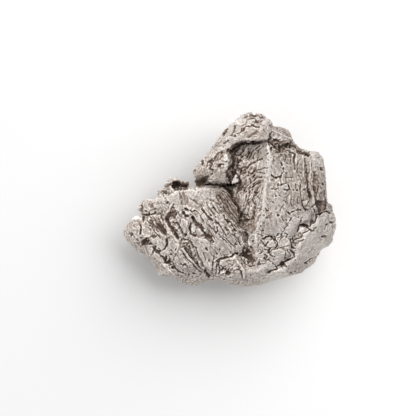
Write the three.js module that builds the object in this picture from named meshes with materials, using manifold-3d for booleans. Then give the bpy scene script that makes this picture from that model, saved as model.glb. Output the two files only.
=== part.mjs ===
// An iron meteorite: one loose, irregular piece of nickel-iron that lies on a table.
// It is one solid, described by its depth: how far a point lies below the surface. Convex
// lumps, one for each mass of the stone, are blended together, grooves and hollows are sunk
// into them, and the whole is made uneven. The surface where the depth is zero is meshed on a
// grid and cut flat where the stone rests.
// Millimetres, +Z up. +X runs along the stone's length. Its base is centred on the origin.
import * as THREE from 'three';
import { ConvexHull } from 'three/addons/math/ConvexHull.js';
import { ImprovedNoise } from 'three/addons/math/ImprovedNoise.js';
import { mergeVertices } from 'three/addons/utils/BufferGeometryUtils.js';
import Module from 'manifold-3d';

// Driving dimensions.
const SIZE = new THREE.Vector3(53, 43.5, 26.5); // length, width and height of the stone
const GRID_STEP = 1.35; // edge of a cell of the mesh
const MARGIN = 3; // room round the stone in the grid
const CELL_INSET = 0.1; // share of a cell, at each side, that its vertex keeps out of
const FILL_DEPTH = 0.1; // depth given to a node that is filled
const CREASE_ROUND = 0.5; // fillet where two lumps meet
const LIP_ROUND = 1; // rounding of the lip of a hollow
const UPPER_SIDE = 11; // grooves run only above this height
const SWELL = 0.12; // makes up for what the meshing takes off the edges

// Unevenness of the whole surface: [wavelength, height].
const UNDULATIONS = [
  [10, 0.45],
  [4.5, 0.28],
];

// The masses of the stone, each the convex hull of its corners.
const LUMPS = {
  // The lower half of the stone, in three masses that each come down to a foot.
  baseLeft: [
    [-21, -6, 7.5], [-20, -12, 6.5], [-15, -17, 5.6], [-8, -19.5, 5.4], [3, -19.5, 5.6],
    [-12, 1, 7.5], [-9, 2, 8], [6, 2, 8], [8, -18, 6], [-19, -10, 4.5], [-15, -16, 4],
    [-4, -17, 3], [2, -12, 2.2], [2, -2, 2.6], [-6, 1, 4.5], [-16, -4, 4.5],
    [-12.8, -10, -0.4], [-11, -8.6, -0.4], [-9.4, -11, -0.4], [-11.6, -12.6, -0.4],
  ],
  baseFront: [
    [-2, -19.5, 5.6], [3, -20, 5.8], [12, -18.6, 6.4], [20, -15, 7.4], [24, -9, 8.6],
    [24.4, -4, 10], [22.5, 1, 10], [0, -4, 8], [0, -8, 2.6], [2, -17, 3], [12, -17.6, 3.6],
    [20, -10, 4], [19, -3, 3.6], [8, -1, 2.6],
    [11.2, -10.4, -0.4], [13.4, -9, -0.4], [15, -11, -0.4], [12.6, -12.8, -0.4],
  ],
  baseBack: [
    [24, -2, 10], [23, 4, 10.6], [21.5, 9.4, 11], [13, 15, 11], [5, 19, 10.5], [0, 16.5, 11],
    [-4.5, 8, 11], [-9.2, 5.6, 11], [-9.5, 3, 10], [-6, 0, 8], [-4, 4, 4], [-1, 12, 4.5],
    [8, 17, 4.5], [17, 12, 4.6], [19, 3, 4], [10, -3, 2.6], [1, -2, 2.8],
    [5, 9.6, -0.4], [7.4, 8.4, -0.4], [8.8, 10.8, -0.4], [6.2, 12, -0.4],
  ],
  // The broad lobe on the left, highest along its back edge.
  lobe: [
    [-20.4, -0.2, 13], [-18, 0.1, 14.6], [-16, 0.7, 16.4], [-13.5, 2, 17.6], [-8, 2.6, 18.6],
    [-5.5, 2.5, 18.6], [-4, 1.6, 18.4], [-12, -6, 18], [-6, -6, 18.4], [-2.6, -2, 18.4],
    [-0.4, -5, 18.2], [1.4, -8, 17.4], [2.8, -12, 15.8], [-4, -17, 14.4], [-12, -15.5, 14],
    [-18.5, -10, 14], [-15, -18, 11], [-20, -12.6, 11], [-20.6, -14, 7.5], [-17.2, -18.9, 6.5],
    [-14.5, -20.1, 6.5], [-9.9, -21.8, 6], [-8.7, -21.8, 6], [-6, -20.8, 6.5], [-21, -3, 13],
    [-0.8, 2.8, 16.4], [2.6, -1.5, 15.8], [4, -5, 15.4], [5, -9, 15], [4.6, -13, 14.4],
    [-18, -8, 3.5], [-14, -15, 3], [-6, -17, 3], [-15, -3, 4], [-6, 0, 5], [0, -12, 3],
  ],
  cheek: [
    [-19, 0, 13.8], [-21.7, -0.4, 11.4], [-22.5, -1.2, 11], [-22.9, -2.2, 11], [-22.8, -3.4, 12],
    [-21.6, -4, 13.4], [-18, -4, 14.8], [-20.4, -1.4, 13.6], [-20, -2, 6], [-18, -6, 6],
  ],
  snout: [
    [-18, -5, 14], [-22.2, -4.1, 12.4], [-24, -4.7, 11], [-26, -6.7, 9.6], [-26.6, -8.3, 9],
    [-26.2, -10, 8.4], [-25.1, -11.2, 8], [-21.6, -13.4, 7.5], [-24.4, -7.6, 11.2],
    [-24, -10.4, 10], [-20, -11, 12.6], [-20, -4.6, 4.5], [-20, -10, 4.2],
  ],
  // The low block behind the lobe.
  heel: [
    [-18.1, 0.4, 6], [-18, 1.6, 6.5], [-17.5, 2.2, 6.8], [-16.2, 3.5, 7], [-15.3, 4.9, 7.4],
    [-14.7, 5.2, 7.8], [-13.6, 5, 8.2], [-15.8, 2.4, 10], [-14.6, 4.2, 9.8], [-14, 0, 10.4],
    [-16, -2, 9.5], [-10, -2, 9.5], [-15, 0, 3.2], [-11, 2, 3.5],
  ],
  heelEnd: [
    [-14.4, 1, 8], [-14, 3.6, 8.6], [-11.9, 4.4, 8.6], [-11, 5, 8.4], [-10.2, 4.9, 8],
    [-9.9, 3.2, 7.5], [-9.7, 2.4, 7.5], [-11, 3.6, 9.6], [-13, -2, 9], [-9, -2, 9],
    [-13, 1, 4], [-10, 0, 4],
  ],
  // The high right-hand mass: a long ridge with a flat back to its right, and the hollowed
  // flank to its left.
  crown: [
    [9.3, 13.5, 24.2], [12.4, 13.8, 23.9], [15.4, 12.8, 23], [9.9, 9, 24.4], [9.2, 4.5, 24.2],
    [8.6, 1, 24], [8, -4.5, 23.2],
    [6.8, -8.8, 21.6], [6.6, -12, 19.6], [16.3, 11.5, 22.6], [18.2, 9.8, 22.2], [18.5, 3, 22],
    [19, -1, 21.8], [19.6, -4, 21.2], [18.2, -7.6, 21], [16, -11.4, 20.4], [14.2, -14.8, 19.4],
    [11, -16.6, 18.4], [6.8, -15.8, 17.4], [23, 10.5, 16], [23.9, 6.3, 15.5], [24.1, 3, 15],
    [24.4, 0.4, 15], [24.4, -1.4, 15], [22, 8.6, 19.8], [22.4, 3, 19.6], [22, -1.8, 19.2],
    [22.5, 9, 8], [23, 0, 8], [6.6, 13, 18.6], [7, 6, 18.4], [6.2, 0, 18.2], [5.6, -5, 17.8],
    [5.2, -9.5, 16], [5.6, -14, 14.4], [8, 10, 6], [8, -12, 6], [20, -10, 6], [12, 13, 6],
  ],
  // The floor of the crease, where the lobe and the crown grow together.
  web: [
    [1.6, -11.5, 15.4], [6.6, -11.5, 16.2], [1.8, -17, 14.8], [6.8, -17.4, 15.4],
    [-1.6, -7, 10.6], [8, -7, 10.6], [-1.8, -17, 10], [8, -17.4, 10],
    [-1.6, -7, 4], [8, -7, 4], [-1.8, -17, 4.4], [8, -17.4, 4],
  ],
  // The bottom of the crack between the lobe and the wall to the left of the crown.
  joint: [
    [-4, 4.6, 13.6], [2.6, 4.6, 15.6], [2.8, -2, 15.4], [0.6, -2, 15.2], [-2.6, 1, 14],
    [-3.6, 4.4, 6], [2.4, 4.4, 6], [2.4, -2, 6], [0, -2, 6],
  ],
  flank: [
    [1.4, 13.4, 18.4], [8, 13.8, 20.4], [8.6, 9, 20.8], [8.2, 4, 20.8], [7.4, -3, 20.4],
    [6.6, -8, 19.8], [5.8, -11.5, 18.4], [0.8, 5, 17.8], [1.6, -1, 16.6], [3.4, -6, 16.2],
    [4.8, -9.5, 15.8], [5.4, -13, 15], [1, 8, 6], [4, -12, 6], [10, 8, 6], [10, -8, 6],
  ],
  shoulder: [
    [13, 14, 23.6], [16.2, 12.8, 22], [20, 11, 20], [17.1, 12.9, 14],
    [18.8, 12.1, 14], [20.2, 11.7, 14], [21.9, 11.7, 14], [23, 10.7, 14], [23.6, 8.8, 15],
    [18, 9, 20.5], [14, 11, 8], [21, 8, 7], [22, 10, 9],
  ],
  // The wall that stands to the left of the crown, and the knob at its foot.
  rim: [
    [0.3, 13, 23.6], [-0.2, 10.5, 23.3], [-0.2, 8.8, 22.6], [-1.3, 7.5, 22], [-1, 5, 20.5],
    [-0.8, 4, 19.5], [-9, 5.6, 13.5], [-9.1, 6.6, 13.5], [-8.3, 8.4, 13.5], [-7.1, 9.8, 13.5],
    [-4.8, 12.4, 13.5], [-3.2, 14.3, 13.5], [-2, 16, 13.5], [-6.8, 6.2, 17], [-5.6, 8.2, 18],
    [-4, 5, 17.5], [-3.6, 10.8, 20], [-2, 13.4, 21], [0.8, 14.5, 24], [-5, 4.6, 16.8],
    [-3, 3.7, 15], [0, 3.8, 16], [-5, 6, 9], [-4, 8, 8], [0, 12, 8], [1.5, 5, 10],
  ],
  nub: [
    [-8.9, 5.3, 13.5], [-9.2, 6.4, 13.5], [-8.9, 7.6, 13.5], [-8.4, 5.8, 16.6], [-8, 7.5, 16.8],
    [-6.6, 8.1, 18], [-5, 7.5, 18.8], [-5.2, 6, 18.2], [-6.6, 5.3, 17], [-7, 7, 9],
  ],
  // The crest above the crown, with a brow to its right.
  peak: [
    [-0.8, 12.8, 23.3], [0.8, 14.3, 24.6], [4, 14.2, 25.6], [7, 14.6, 26.2], [9.5, 14.6, 26],
    [3, 16.8, 25], [7, 17.2, 25.6], [10, 17, 24.6], [-2.9, 14.9, 15], [-2, 16, 14.5],
    [-1.5, 17.5, 14], [0.8, 19.5, 14], [3.8, 21.2, 13.4], [5.2, 21.8, 13], [6.5, 21.5, 13],
    [8.4, 20.5, 13.5], [9.9, 19.6, 14], [10.7, 18.8, 14.6], [-1.4, 15, 21], [-0.2, 17, 19.8],
    [2, 18.7, 20.5], [5, 20.1, 20.2], [8, 19.4, 20.5], [10, 17.9, 21.2], [0, 15, 8],
    [6, 18, 7], [9, 16, 8],
  ],
  brow: [
    [9.5, 14.6, 25.4], [10, 16.8, 24], [13, 14, 24.4], [16.2, 12.9, 22], [13, 16.2, 23.2],
    [15, 15, 21.4], [10.8, 18.1, 14], [12.3, 18.1, 14], [14, 17.5, 14], [15.4, 16.3, 14],
    [16, 14.8, 14], [16.5, 13.4, 14], [12.2, 17.4, 21], [14, 16.6, 20], [10, 15, 8],
    [14, 13, 8], [11, 16.5, 9],
  ],
  // The smooth band that wraps the lower right of the stone.
  belt: [
    [21.7, -3.7, 20], [20.4, -6.4, 20.8], [18.6, -9.4, 21], [16.6, -12.4, 20.4],
    [24.4, -0.8, 14.5], [24.8, -1.2, 14.4], [25.7, -2.2, 14], [26.2, -3.2, 13.8],
    [26.6, -5.7, 12.6], [26.4, -8.2, 11.8], [25.9, -10, 11.2], [25, -11.6, 11],
    [23.2, -12.6, 11], [23.8, -3.6, 17.8], [24.2, -8, 17.4], [22, -11.8, 16.8], [22, -8, 4],
    [18, -11, 3], [20, -3, 8],
  ],
  keel: [
    [18.4, -10, 20.8], [17, -12.4, 20.4], [15, -15.4, 19.6], [12, -17.2, 18.8],
    [7.4, -17.6, 17.6], [4.6, -18.3, 15.8], [23.6, -12.2, 11], [22.6, -13.8, 10.5],
    [21.4, -15.8, 10], [20, -17.4, 10], [17.9, -18.7, 10], [12.7, -20.4, 9.5], [9.7, -21.3, 9],
    [6, -21.9, 9], [2.3, -21.9, 9], [-0.3, -21.3, 8], [22, -12, 16.6], [19.4, -15.4, 16],
    [13, -18.8, 15.4], [6, -20.4, 14], [20, -10, 4], [16, -14, 3], [8, -17, 3], [0, -17, 4],
  ],
  toe: [
    [-2.8, -14.9, 14.8], [1.4, -14.3, 15.6], [3, -16.5, 15.4], [3.6, -19, 14.4],
    [-2.5, -18.5, 13.4], [0, -20, 12.4], [-4.5, -19, 11.8], [-5, -20.5, 7.5],
    [-1.1, -21.1, 7.5], [0.5, -21.4, 7.5], [3, -21.8, 7.5], [-3, -16, 3], [3, -17, 3],
  ],
};

// Grooves in the upper side: [half width, depth, points along the middle of the groove].
const GROOVES = {
  lobeTear: [1.6, 1.4, [-11.6, -11.2], [-9.4, -14.3], [-6.6, -17.6], [-5, -19.8]],
  lobeSplit: [1.5, 0.9, [-9, -4.8], [-7.6, -7], [-4.4, -10.3]],
  lobeEdge: [1.5, 1, [-21.6, -10.8], [-18.6, -12.8], [-16.4, -15.4], [-13.6, -17.6], [-10.2, -19.2]],
  lobeStreak: [1.4, 0.7, [-16.2, -5], [-14.6, -7.8], [-12.6, -10]],
  cheekStep: [1.4, 0.7, [-22.4, -4.1], [-19.8, -4.4], [-17, -3.6]],
  rimCrack: [1.2, 1.2, [-8.6, 4], [-5.6, 3.6], [-1, 3.6], [2, 3.8]],
  crease: [1.5, 0.5, [-0.6, 2.4], [1.8, -1.6], [3.6, -6], [4.8, -9], [4.6, -12.6]],
  browFoot: [1.4, 0.7, [10.8, 13.2], [13, 13], [16.4, 11.8], [19.8, 10.6]],
  beltCrack: [1.3, 1.3, [22.6, -3.8], [21.4, -4], [20.6, -6.2], [17.6, -6.8], [15.8, -10.2],
    [15.9, -13.8], [12.4, -16.6], [9.6, -17.8]],
  sideLong: [1.6, 0.6, [18.8, 9.2], [19.2, 4], [20, 0.2]],
};

// Rounded hollows: [centre, radii].
const HOLLOWS = {
  creasePit: [[4.4, -14.4, 17.4], [2.3, 2.7, 3.6]],
  crownHead: [[4, 11.2, 23], [4.6, 3, 4.6]],
  beltPocket: [[22.7, -1.5, 19.4], [1.6, 1.6, 1.8]],
  heelSlot: [[-12.1, 3.1, 10.6], [2.3, 1.7, 3]],
  thumbLeft: [[-18, -13, -3], [8, 8, 9]],
  thumbFront: [[1, -18, -3.4], [8, 8, 7.6]],
  thumbRight: [[23, 0, 0], [8, 8, 8]],
  thumbBack: [[-4, 4, -3], [8, 7, 8]],
  thumbMiddle: [[3, -4, -6], [8, 6, 9.6]],
  thumbInner: [[15, 1, -5], [7, 5, 9]],
  sideRear: [[16, 23, 6], [8, 8, 7]],
  sideFront: [[14, -26, 4], [10, 7, 6]],
};

// Depth inside the convex hull of the corners, negative outside.
function depthInHull(corners) {
  const points = corners.map((corner) => new THREE.Vector3(...corner));
  const faces = new ConvexHull().setFromPoints(points).faces;
  const planes = faces.map(({ normal, constant }) => [...normal.toArray(), constant]);
  return (x, y, z) => {
    let depth = Infinity;
    for (const [nx, ny, nz, constant] of planes) {
      depth = Math.min(depth, constant - nx * x - ny * y - nz * z);
    }
    return depth;
  };
}

// The larger or smaller of two values, blended over a radius where they are close.
function softMax(a, b, radius) {
  const near = Math.max(radius - Math.abs(a - b), 0);
  return Math.max(a, b) + (near * near) / (4 * radius);
}

function softMin(a, b, radius) {
  return -softMax(-a, -b, radius);
}

// Distance in plan from (x, y) to the segment between two points.
function distanceInPlan(x, y, [ax, ay], [bx, by]) {
  const [dx, dy] = [bx - ax, by - ay];
  const along = ((x - ax) * dx + (y - ay) * dy) / (dx * dx + dy * dy);
  const t = THREE.MathUtils.clamp(along, 0, 1);
  return Math.hypot(x - ax - t * dx, y - ay - t * dy);
}

// How far the grooves sink the upper side at (x, y).
function grooveSink(x, y) {
  let sink = 0;
  for (const [halfWidth, depth, ...points] of Object.values(GROOVES)) {
    for (let i = 1; i < points.length; i++) {
      const off = distanceInPlan(x, y, points[i - 1], points[i]) / halfWidth;
      sink = Math.max(sink, depth * (1 - THREE.MathUtils.smoothstep(off, 0, 1)));
    }
  }
  return sink;
}

const lumps = Object.values(LUMPS).map(depthInHull);
const noise = new ImprovedNoise();

// Depth below the stone's surface at a point, negative outside.
function depthAt(x, y, z) {
  let depth = lumps.map((lump) => lump(x, y, z)).reduce((a, b) => softMax(a, b, CREASE_ROUND));
  if (z > UPPER_SIDE) depth -= grooveSink(x, y);
  for (const [[cx, cy, cz], [rx, ry, rz]] of Object.values(HOLLOWS)) {
    const reach = Math.hypot((x - cx) / rx, (y - cy) / ry, (z - cz) / rz);
    depth = softMin(depth, (reach - 1) * Math.min(rx, ry, rz), LIP_ROUND);
  }
  for (const [wavelength, height] of UNDULATIONS) {
    depth += height * noise.noise(x / wavelength, y / wavelength, z / wavelength);
  }
  return depth + SWELL;
}

// The direction out of the surface at a point.
function outward({ x, y, z }) {
  const h = 0.05;
  return new THREE.Vector3(
    depthAt(x - h, y, z) - depthAt(x + h, y, z),
    depthAt(x, y - h, z) - depthAt(x, y + h, z),
    depthAt(x, y, z - h) - depthAt(x, y, z + h),
  ).normalize();
}

// Meshes the surface inside a box. Each grid cell that the surface passes through gets one
// vertex, and each grid edge that it crosses gets two triangles between the vertices of the
// four cells round that edge.
function meshSurface(low, high) {
  const count = high.clone().sub(low).divideScalar(GRID_STEP).ceil().addScalar(1).toArray();
  const indexOf = ([i, j, k]) => i + count[0] * (j + count[1] * k);
  const pointAt = (node) => new THREE.Vector3(...node).multiplyScalar(GRID_STEP).add(low);
  const step = (node, axis, by) => node.map((n, i) => (i === axis ? n + by : n));
  const nodes = [];
  for (let k = 0; k < count[2]; k++) {
    for (let j = 0; j < count[1]; j++) {
      for (let i = 0; i < count[0]; i++) nodes.push([i, j, k]);
    }
  }
  const depths = nodes.map((node) => depthAt(...pointAt(node).toArray()));
  const isInside = (node) => depths[indexOf(node)] > 0;

  // Where two inside nodes of a grid face meet only across its diagonal, the surface would
  // pinch to a line, so a third node is filled.
  let pinched = true;
  while (pinched) {
    pinched = false;
    for (const node of nodes) {
      for (let axis = 0; axis < 3; axis++) {
        const [u, v] = [(axis + 1) % 3, (axis + 2) % 3];
        if (node[u] + 1 === count[u] || node[v] + 1 === count[v]) continue;
        const face = [node, step(node, u, 1), step(step(node, u, 1), v, 1), step(node, v, 1)];
        const [a, b, c, d] = face.map(isInside);
        if (a === b || a !== c || b !== d) continue;
        depths[indexOf(a ? face[1] : face[0])] = FILL_DEPTH;
        pinched = true;
      }
    }
  }

  // Where the surface crosses the grid edge from a node along an axis, or null.
  function crossing(node, axis) {
    const next = step(node, axis, 1);
    const [a, b] = [depths[indexOf(node)], depths[indexOf(next)]];
    if (isInside(node) === isInside(next)) return null;
    return pointAt(node).lerp(pointAt(next), a / (a - b));
  }

  // The point in a cell that lies nearest to the planes that touch the surface at its
  // crossings, so that ridges and creases stay sharp.
  function placeVertex(cell) {
    const found = [];
    for (let corner = 0; corner < 8; corner++) {
      const node = cell.map((n, i) => n + ((corner >> i) & 1));
      for (let axis = 0; axis < 3; axis++) {
        const point = corner & (1 << axis) ? null : crossing(node, axis);
        if (point) found.push({ point, normal: outward(point) });
      }
    }
    const vertex = new THREE.Vector3();
    for (const { point } of found) vertex.addScaledVector(point, 1 / found.length);
    for (let pass = 0; pass < 6; pass++) {
      const shift = new THREE.Vector3();
      for (const { point, normal } of found) {
        const gap = normal.dot(point.clone().sub(vertex));
        shift.addScaledVector(normal, gap / found.length);
      }
      vertex.add(shift);
    }
    const inset = (fraction) => pointAt(cell.map((n) => n + fraction));
    return vertex.clamp(inset(CELL_INSET), inset(1 - CELL_INSET));
  }

  const positions = [];
  const triangles = [];
  const vertexOf = new Map();
  function vertexIndex(cell) {
    const key = indexOf(cell);
    if (!vertexOf.has(key)) {
      vertexOf.set(key, vertexOf.size);
      positions.push(...placeVertex(cell).toArray());
    }
    return vertexOf.get(key);
  }
  for (const node of nodes) {
    for (let axis = 0; axis < 3; axis++) {
      if (node[axis] + 1 === count[axis] || !crossing(node, axis)) continue;
      const [u, v] = [(axis + 1) % 3, (axis + 2) % 3];
      const ring = [node, step(node, u, -1), step(step(node, u, -1), v, -1), step(node, v, -1)];
      if (!isInside(node)) ring.reverse();
      const [a, b, c, d] = ring.map(vertexIndex);
      triangles.push(a, b, c, a, c, d);
    }
  }
  return { positions, triangles };
}

const wasm = await Module();
wasm.setup();

function solid(positions, triangles) {
  const mesh = new wasm.Mesh({
    numProp: 3,
    vertProperties: new Float32Array(positions),
    triVerts: new Uint32Array(triangles),
  });
  return new wasm.Manifold(mesh);
}

// A block whose top is the table under the stone, at z = 0.
function tableBlock() {
  const block = new THREE.BoxGeometry(2 * SIZE.x, 2 * SIZE.y, SIZE.z);
  block.translate(0, 0, -SIZE.z / 2);
  block.deleteAttribute('normal');
  block.deleteAttribute('uv');
  const welded = mergeVertices(block);
  return solid(welded.getAttribute('position').array, welded.getIndex().array);
}

const high = new THREE.Vector3(SIZE.x / 2, SIZE.y / 2, SIZE.z).addScalar(MARGIN);
const low = new THREE.Vector3(-high.x, -high.y, -MARGIN);
const { positions, triangles } = meshSurface(low, high);
const stone = solid(positions, triangles).subtract(tableBlock()).getMesh();

const geometry = new THREE.BufferGeometry();
geometry.setAttribute('position', new THREE.BufferAttribute(stone.vertProperties, 3));
geometry.setIndex(new THREE.BufferAttribute(stone.triVerts, 1));
geometry.computeBoundingBox();
const middle = geometry.boundingBox.getCenter(new THREE.Vector3());
geometry.translate(-middle.x, -middle.y, 0);
geometry.computeVertexNormals();

const iron = new THREE.MeshStandardMaterial({ color: 0xaaa29c, roughness: 0.5, metalness: 0.6 });
const meteorite = new THREE.Mesh(geometry, iron);
meteorite.name = 'meteorite';

const group = new THREE.Group();
group.add(meteorite);
export default group;
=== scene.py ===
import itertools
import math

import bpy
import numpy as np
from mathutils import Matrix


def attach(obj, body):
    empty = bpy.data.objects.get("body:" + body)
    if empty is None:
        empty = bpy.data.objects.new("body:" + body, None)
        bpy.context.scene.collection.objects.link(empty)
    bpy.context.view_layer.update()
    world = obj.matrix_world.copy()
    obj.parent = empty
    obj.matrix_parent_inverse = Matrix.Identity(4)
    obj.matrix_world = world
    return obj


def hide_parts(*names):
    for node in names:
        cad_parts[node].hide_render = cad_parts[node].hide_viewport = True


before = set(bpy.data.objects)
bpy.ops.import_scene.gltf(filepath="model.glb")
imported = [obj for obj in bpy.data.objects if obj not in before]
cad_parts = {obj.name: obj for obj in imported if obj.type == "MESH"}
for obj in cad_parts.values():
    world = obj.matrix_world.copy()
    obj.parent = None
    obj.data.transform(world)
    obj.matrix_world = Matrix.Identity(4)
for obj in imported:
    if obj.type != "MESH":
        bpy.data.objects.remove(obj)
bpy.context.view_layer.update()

# An iron meteorite, about 53 mm long. The coarse body is remeshed finely and smoothed, and its
# plates, cracks, pits and ridges are then carved into the mesh. Lengths are millimetres, except
# where a comment says metres. In the plan tables +X is to the right and +Y is away from the
# viewer, seen from above.

NODE = "meteorite"
SURFACE = "meteorite_surface"
MM = 0.001

VOXEL = 0.2                      # size of the fine mesh's cells
FACET_PASSES = 22                # smoothing that takes the coarse body's facets away
LIP_PASSES, LIP_SHARE = 30, 0.9  # how the lips and edges of the body are sharpened again
NORMAL_PASSES = 6                # smoothing of the directions along which the relief is carved
CRISP = [(2, 0.8), (6, 0.3)]     # passes and share of each sharpening of the carved relief
SMOOTHING = 0.5                  # how far one pass moves a value towards its neighbours' mean
MOST_TRIANGLES = 196000
SEED = 7

# ---------------------------------------------------------------- noise

ROWS = 8192
COLUMNS = 16
PLACE = slice(0, 3)                     # columns of the random table: a place in the cell,
DIRECTIONS = [slice(n, n + 3) for n in (3, 6, 9)]    # three directions of unit length,
LEVEL, VALUE = 12, 13                   # and two single values
SCATTER = (73856093, 19349663, 83492791, 40503)      # large factors that tell the cells apart
MIXER = 1274126177
NOISE_SHIFT, RUBBLE_SHIFT = 31.7, 23.1  # keep the cells' walls away from the origin
FLATNESS, ROUNDNESS, UNEVEN = 0.65, 0.45, 0.5        # shape of the lumps of rubble
LUMP_RAISE = 0.25                       # added to every lump's height

RANDOM = np.random.default_rng(SEED).random((ROWS, COLUMNS), dtype=np.float32)
for direction in DIRECTIONS:
    RANDOM[:, direction] -= 0.5
    RANDOM[:, direction] /= np.linalg.norm(RANDOM[:, direction], axis=1)[:, None]


def row_of(i, j, k, seed):
    """A repeatable row number of the random table for each whole-number triple."""
    h = (i * SCATTER[0]) ^ (j * SCATTER[1]) ^ (k * SCATTER[2]) ^ (seed * SCATTER[3])
    h = (h ^ (h >> 13)) * MIXER
    return (h ^ (h >> 17)) & (ROWS - 1)


def noise(points, period, seed):
    """Smooth noise from -1 to 1 that changes over about one period."""
    p = points / period + NOISE_SHIFT
    cell = np.floor(p).astype(np.int64)
    f = p - cell
    f = f * f * f * (f * (f * 6 - 15) + 10)
    sides = (1 - f, f)
    total = np.zeros(len(p))
    for a, b, c in itertools.product((0, 1), repeat=3):
        weight = sides[a][:, 0] * sides[b][:, 1] * sides[c][:, 2]
        rows = row_of(cell[:, 0] + a, cell[:, 1] + b, cell[:, 2] + c, seed)
        total += weight * RANDOM[rows, LEVEL]
    return total * 2 - 1


def noise_vector(points, period, seed):
    """Three independent noises side by side."""
    return np.stack([noise(points, period, seed + n) for n in (11, 12, 13)], axis=1)


def rubble(points, period, seed):
    """Angular lumps pressed together: height, and a value of each lump's own."""
    p = (points / period + RUBBLE_SHIFT).astype(np.float32)
    cell = np.floor(p).astype(np.int64)
    best = np.full(len(p), -np.inf, np.float32)
    value = np.zeros(len(p), np.float32)
    for step in itertools.product((-1, 0, 1), repeat=3):
        near = cell + np.array(step)
        own = RANDOM[row_of(near[:, 0], near[:, 1], near[:, 2], seed)]
        offset = p - near - own[:, PLACE]
        flat = np.zeros(len(p), np.float32)
        for direction in DIRECTIONS:
            flat = np.maximum(flat, np.abs((offset * own[:, direction]).sum(axis=1)))
        reach = np.sqrt((offset * offset).sum(axis=1))
        height = UNEVEN * own[:, LEVEL] - FLATNESS * flat - ROUNDNESS * reach
        higher = height > best
        value = np.where(higher, own[:, VALUE], value)
        best = np.where(higher, height, best)
    return best + LUMP_RAISE, value


def smoothstep(low, high, x):
    """Rises smoothly from 0 at low to 1 at high, or falls where high is the smaller."""
    t = np.clip((x - low) / (high - low), 0, 1)
    return t * t * (3 - 2 * t)


# ---------------------------------------------------------------- plan features

# Small pulls on the coarse body that sharpen its outline: place, radius, shift.
PULLS = [
    (-26.4, -8.6, 9, 1.6, -0.3, 0, 0), (-22.9, -3, 11, 1.2, -0.5, 0, 0),
    (-19.4, 0.1, 14, 1.3, 0, -0.45, 0), (-18.2, 0.2, 13, 1.1, 0.3, -0.7, 0),
    (-17.6, 2, 7, 1.2, -0.45, 0.2, 0), (-14.9, 5, 8, 1.6, 0.2, -0.3, 0),
    (-10.5, 4.8, 8.4, 0.9, 0.35, 0.35, 0), (-12, 4.6, 8.6, 0.7, 0, -0.3, 0),
    (-6, 11, 16, 5, 0.3, -0.25, 0), (-2, 15.8, 15, 2.2, 0.4, -0.25, 0),
    (4, 21.2, 14, 5, 0, -0.4, 0), (10.8, 18, 16, 1.3, -0.3, -0.5, 0),
    (13, 17.8, 15, 2.5, 0, -0.35, 0), (19.6, 11.9, 14, 1.8, 0, -0.5, 0),
    (25.7, -10.2, 12, 1.2, 0.35, -0.1, 0), (23.2, -12.2, 11, 1.2, 0.2, -0.2, 0),
    (7.7, 20.9, 15, 1.1, 0.15, 0.3, 0), (6, 22, 15, 0.9, 0, -0.5, 0),
    (3.2, 20.9, 15, 1, -0.1, 0.2, 0), (-4.2, 12.8, 15, 1.4, 0.3, -0.3, 0),
    (22.9, 10.9, 15, 1.2, -0.3, -0.2, 0), (-9.2, 6.3, 15, 0.9, 0.3, 0, 0),
    (-16.4, -19.4, 6, 1.2, -0.1, -0.3, 0), (24.1, 6, 15, 2, -0.3, 0, 0),
    (17.2, 12.8, 15, 1.6, -0.2, -0.4, 0), (-23.4, -12.6, 8, 1.2, -0.2, -0.3, 0),
    (0.2, 18.6, 16, 1.2, 0.2, -0.3, 0), (-2.9, 14.9, 15, 1, -0.4, 0.3, 0),
    (-16.6, 3.2, 7, 1, 0.2, -0.2, 0), (-4.4, 4.1, 16, 1.4, 0, -0.5, 0),
    (-2, 4, 17, 1.4, 0, -0.6, 0), (0.2, 3.9, 18, 1.4, 0, -0.6, 0), (1.6, 4, 18, 1, 0, -0.4, 0),
    (-5, -20.4, 8, 1.8, 0, -0.6, 0), (-8.6, -21.4, 7, 2.4, 0, -0.45, 0),
    (-17.2, -19, 7, 1.4, -0.45, -0.5, 0), (-0.4, -21.2, 8, 1.4, 0, -0.35, 0),
    (20, -5.8, 19, 1.7, 0, 0, 0.9), (-0.2, 13.1, 21.5, 1.1, 0.8, 0.1, 0.4),
]

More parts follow.
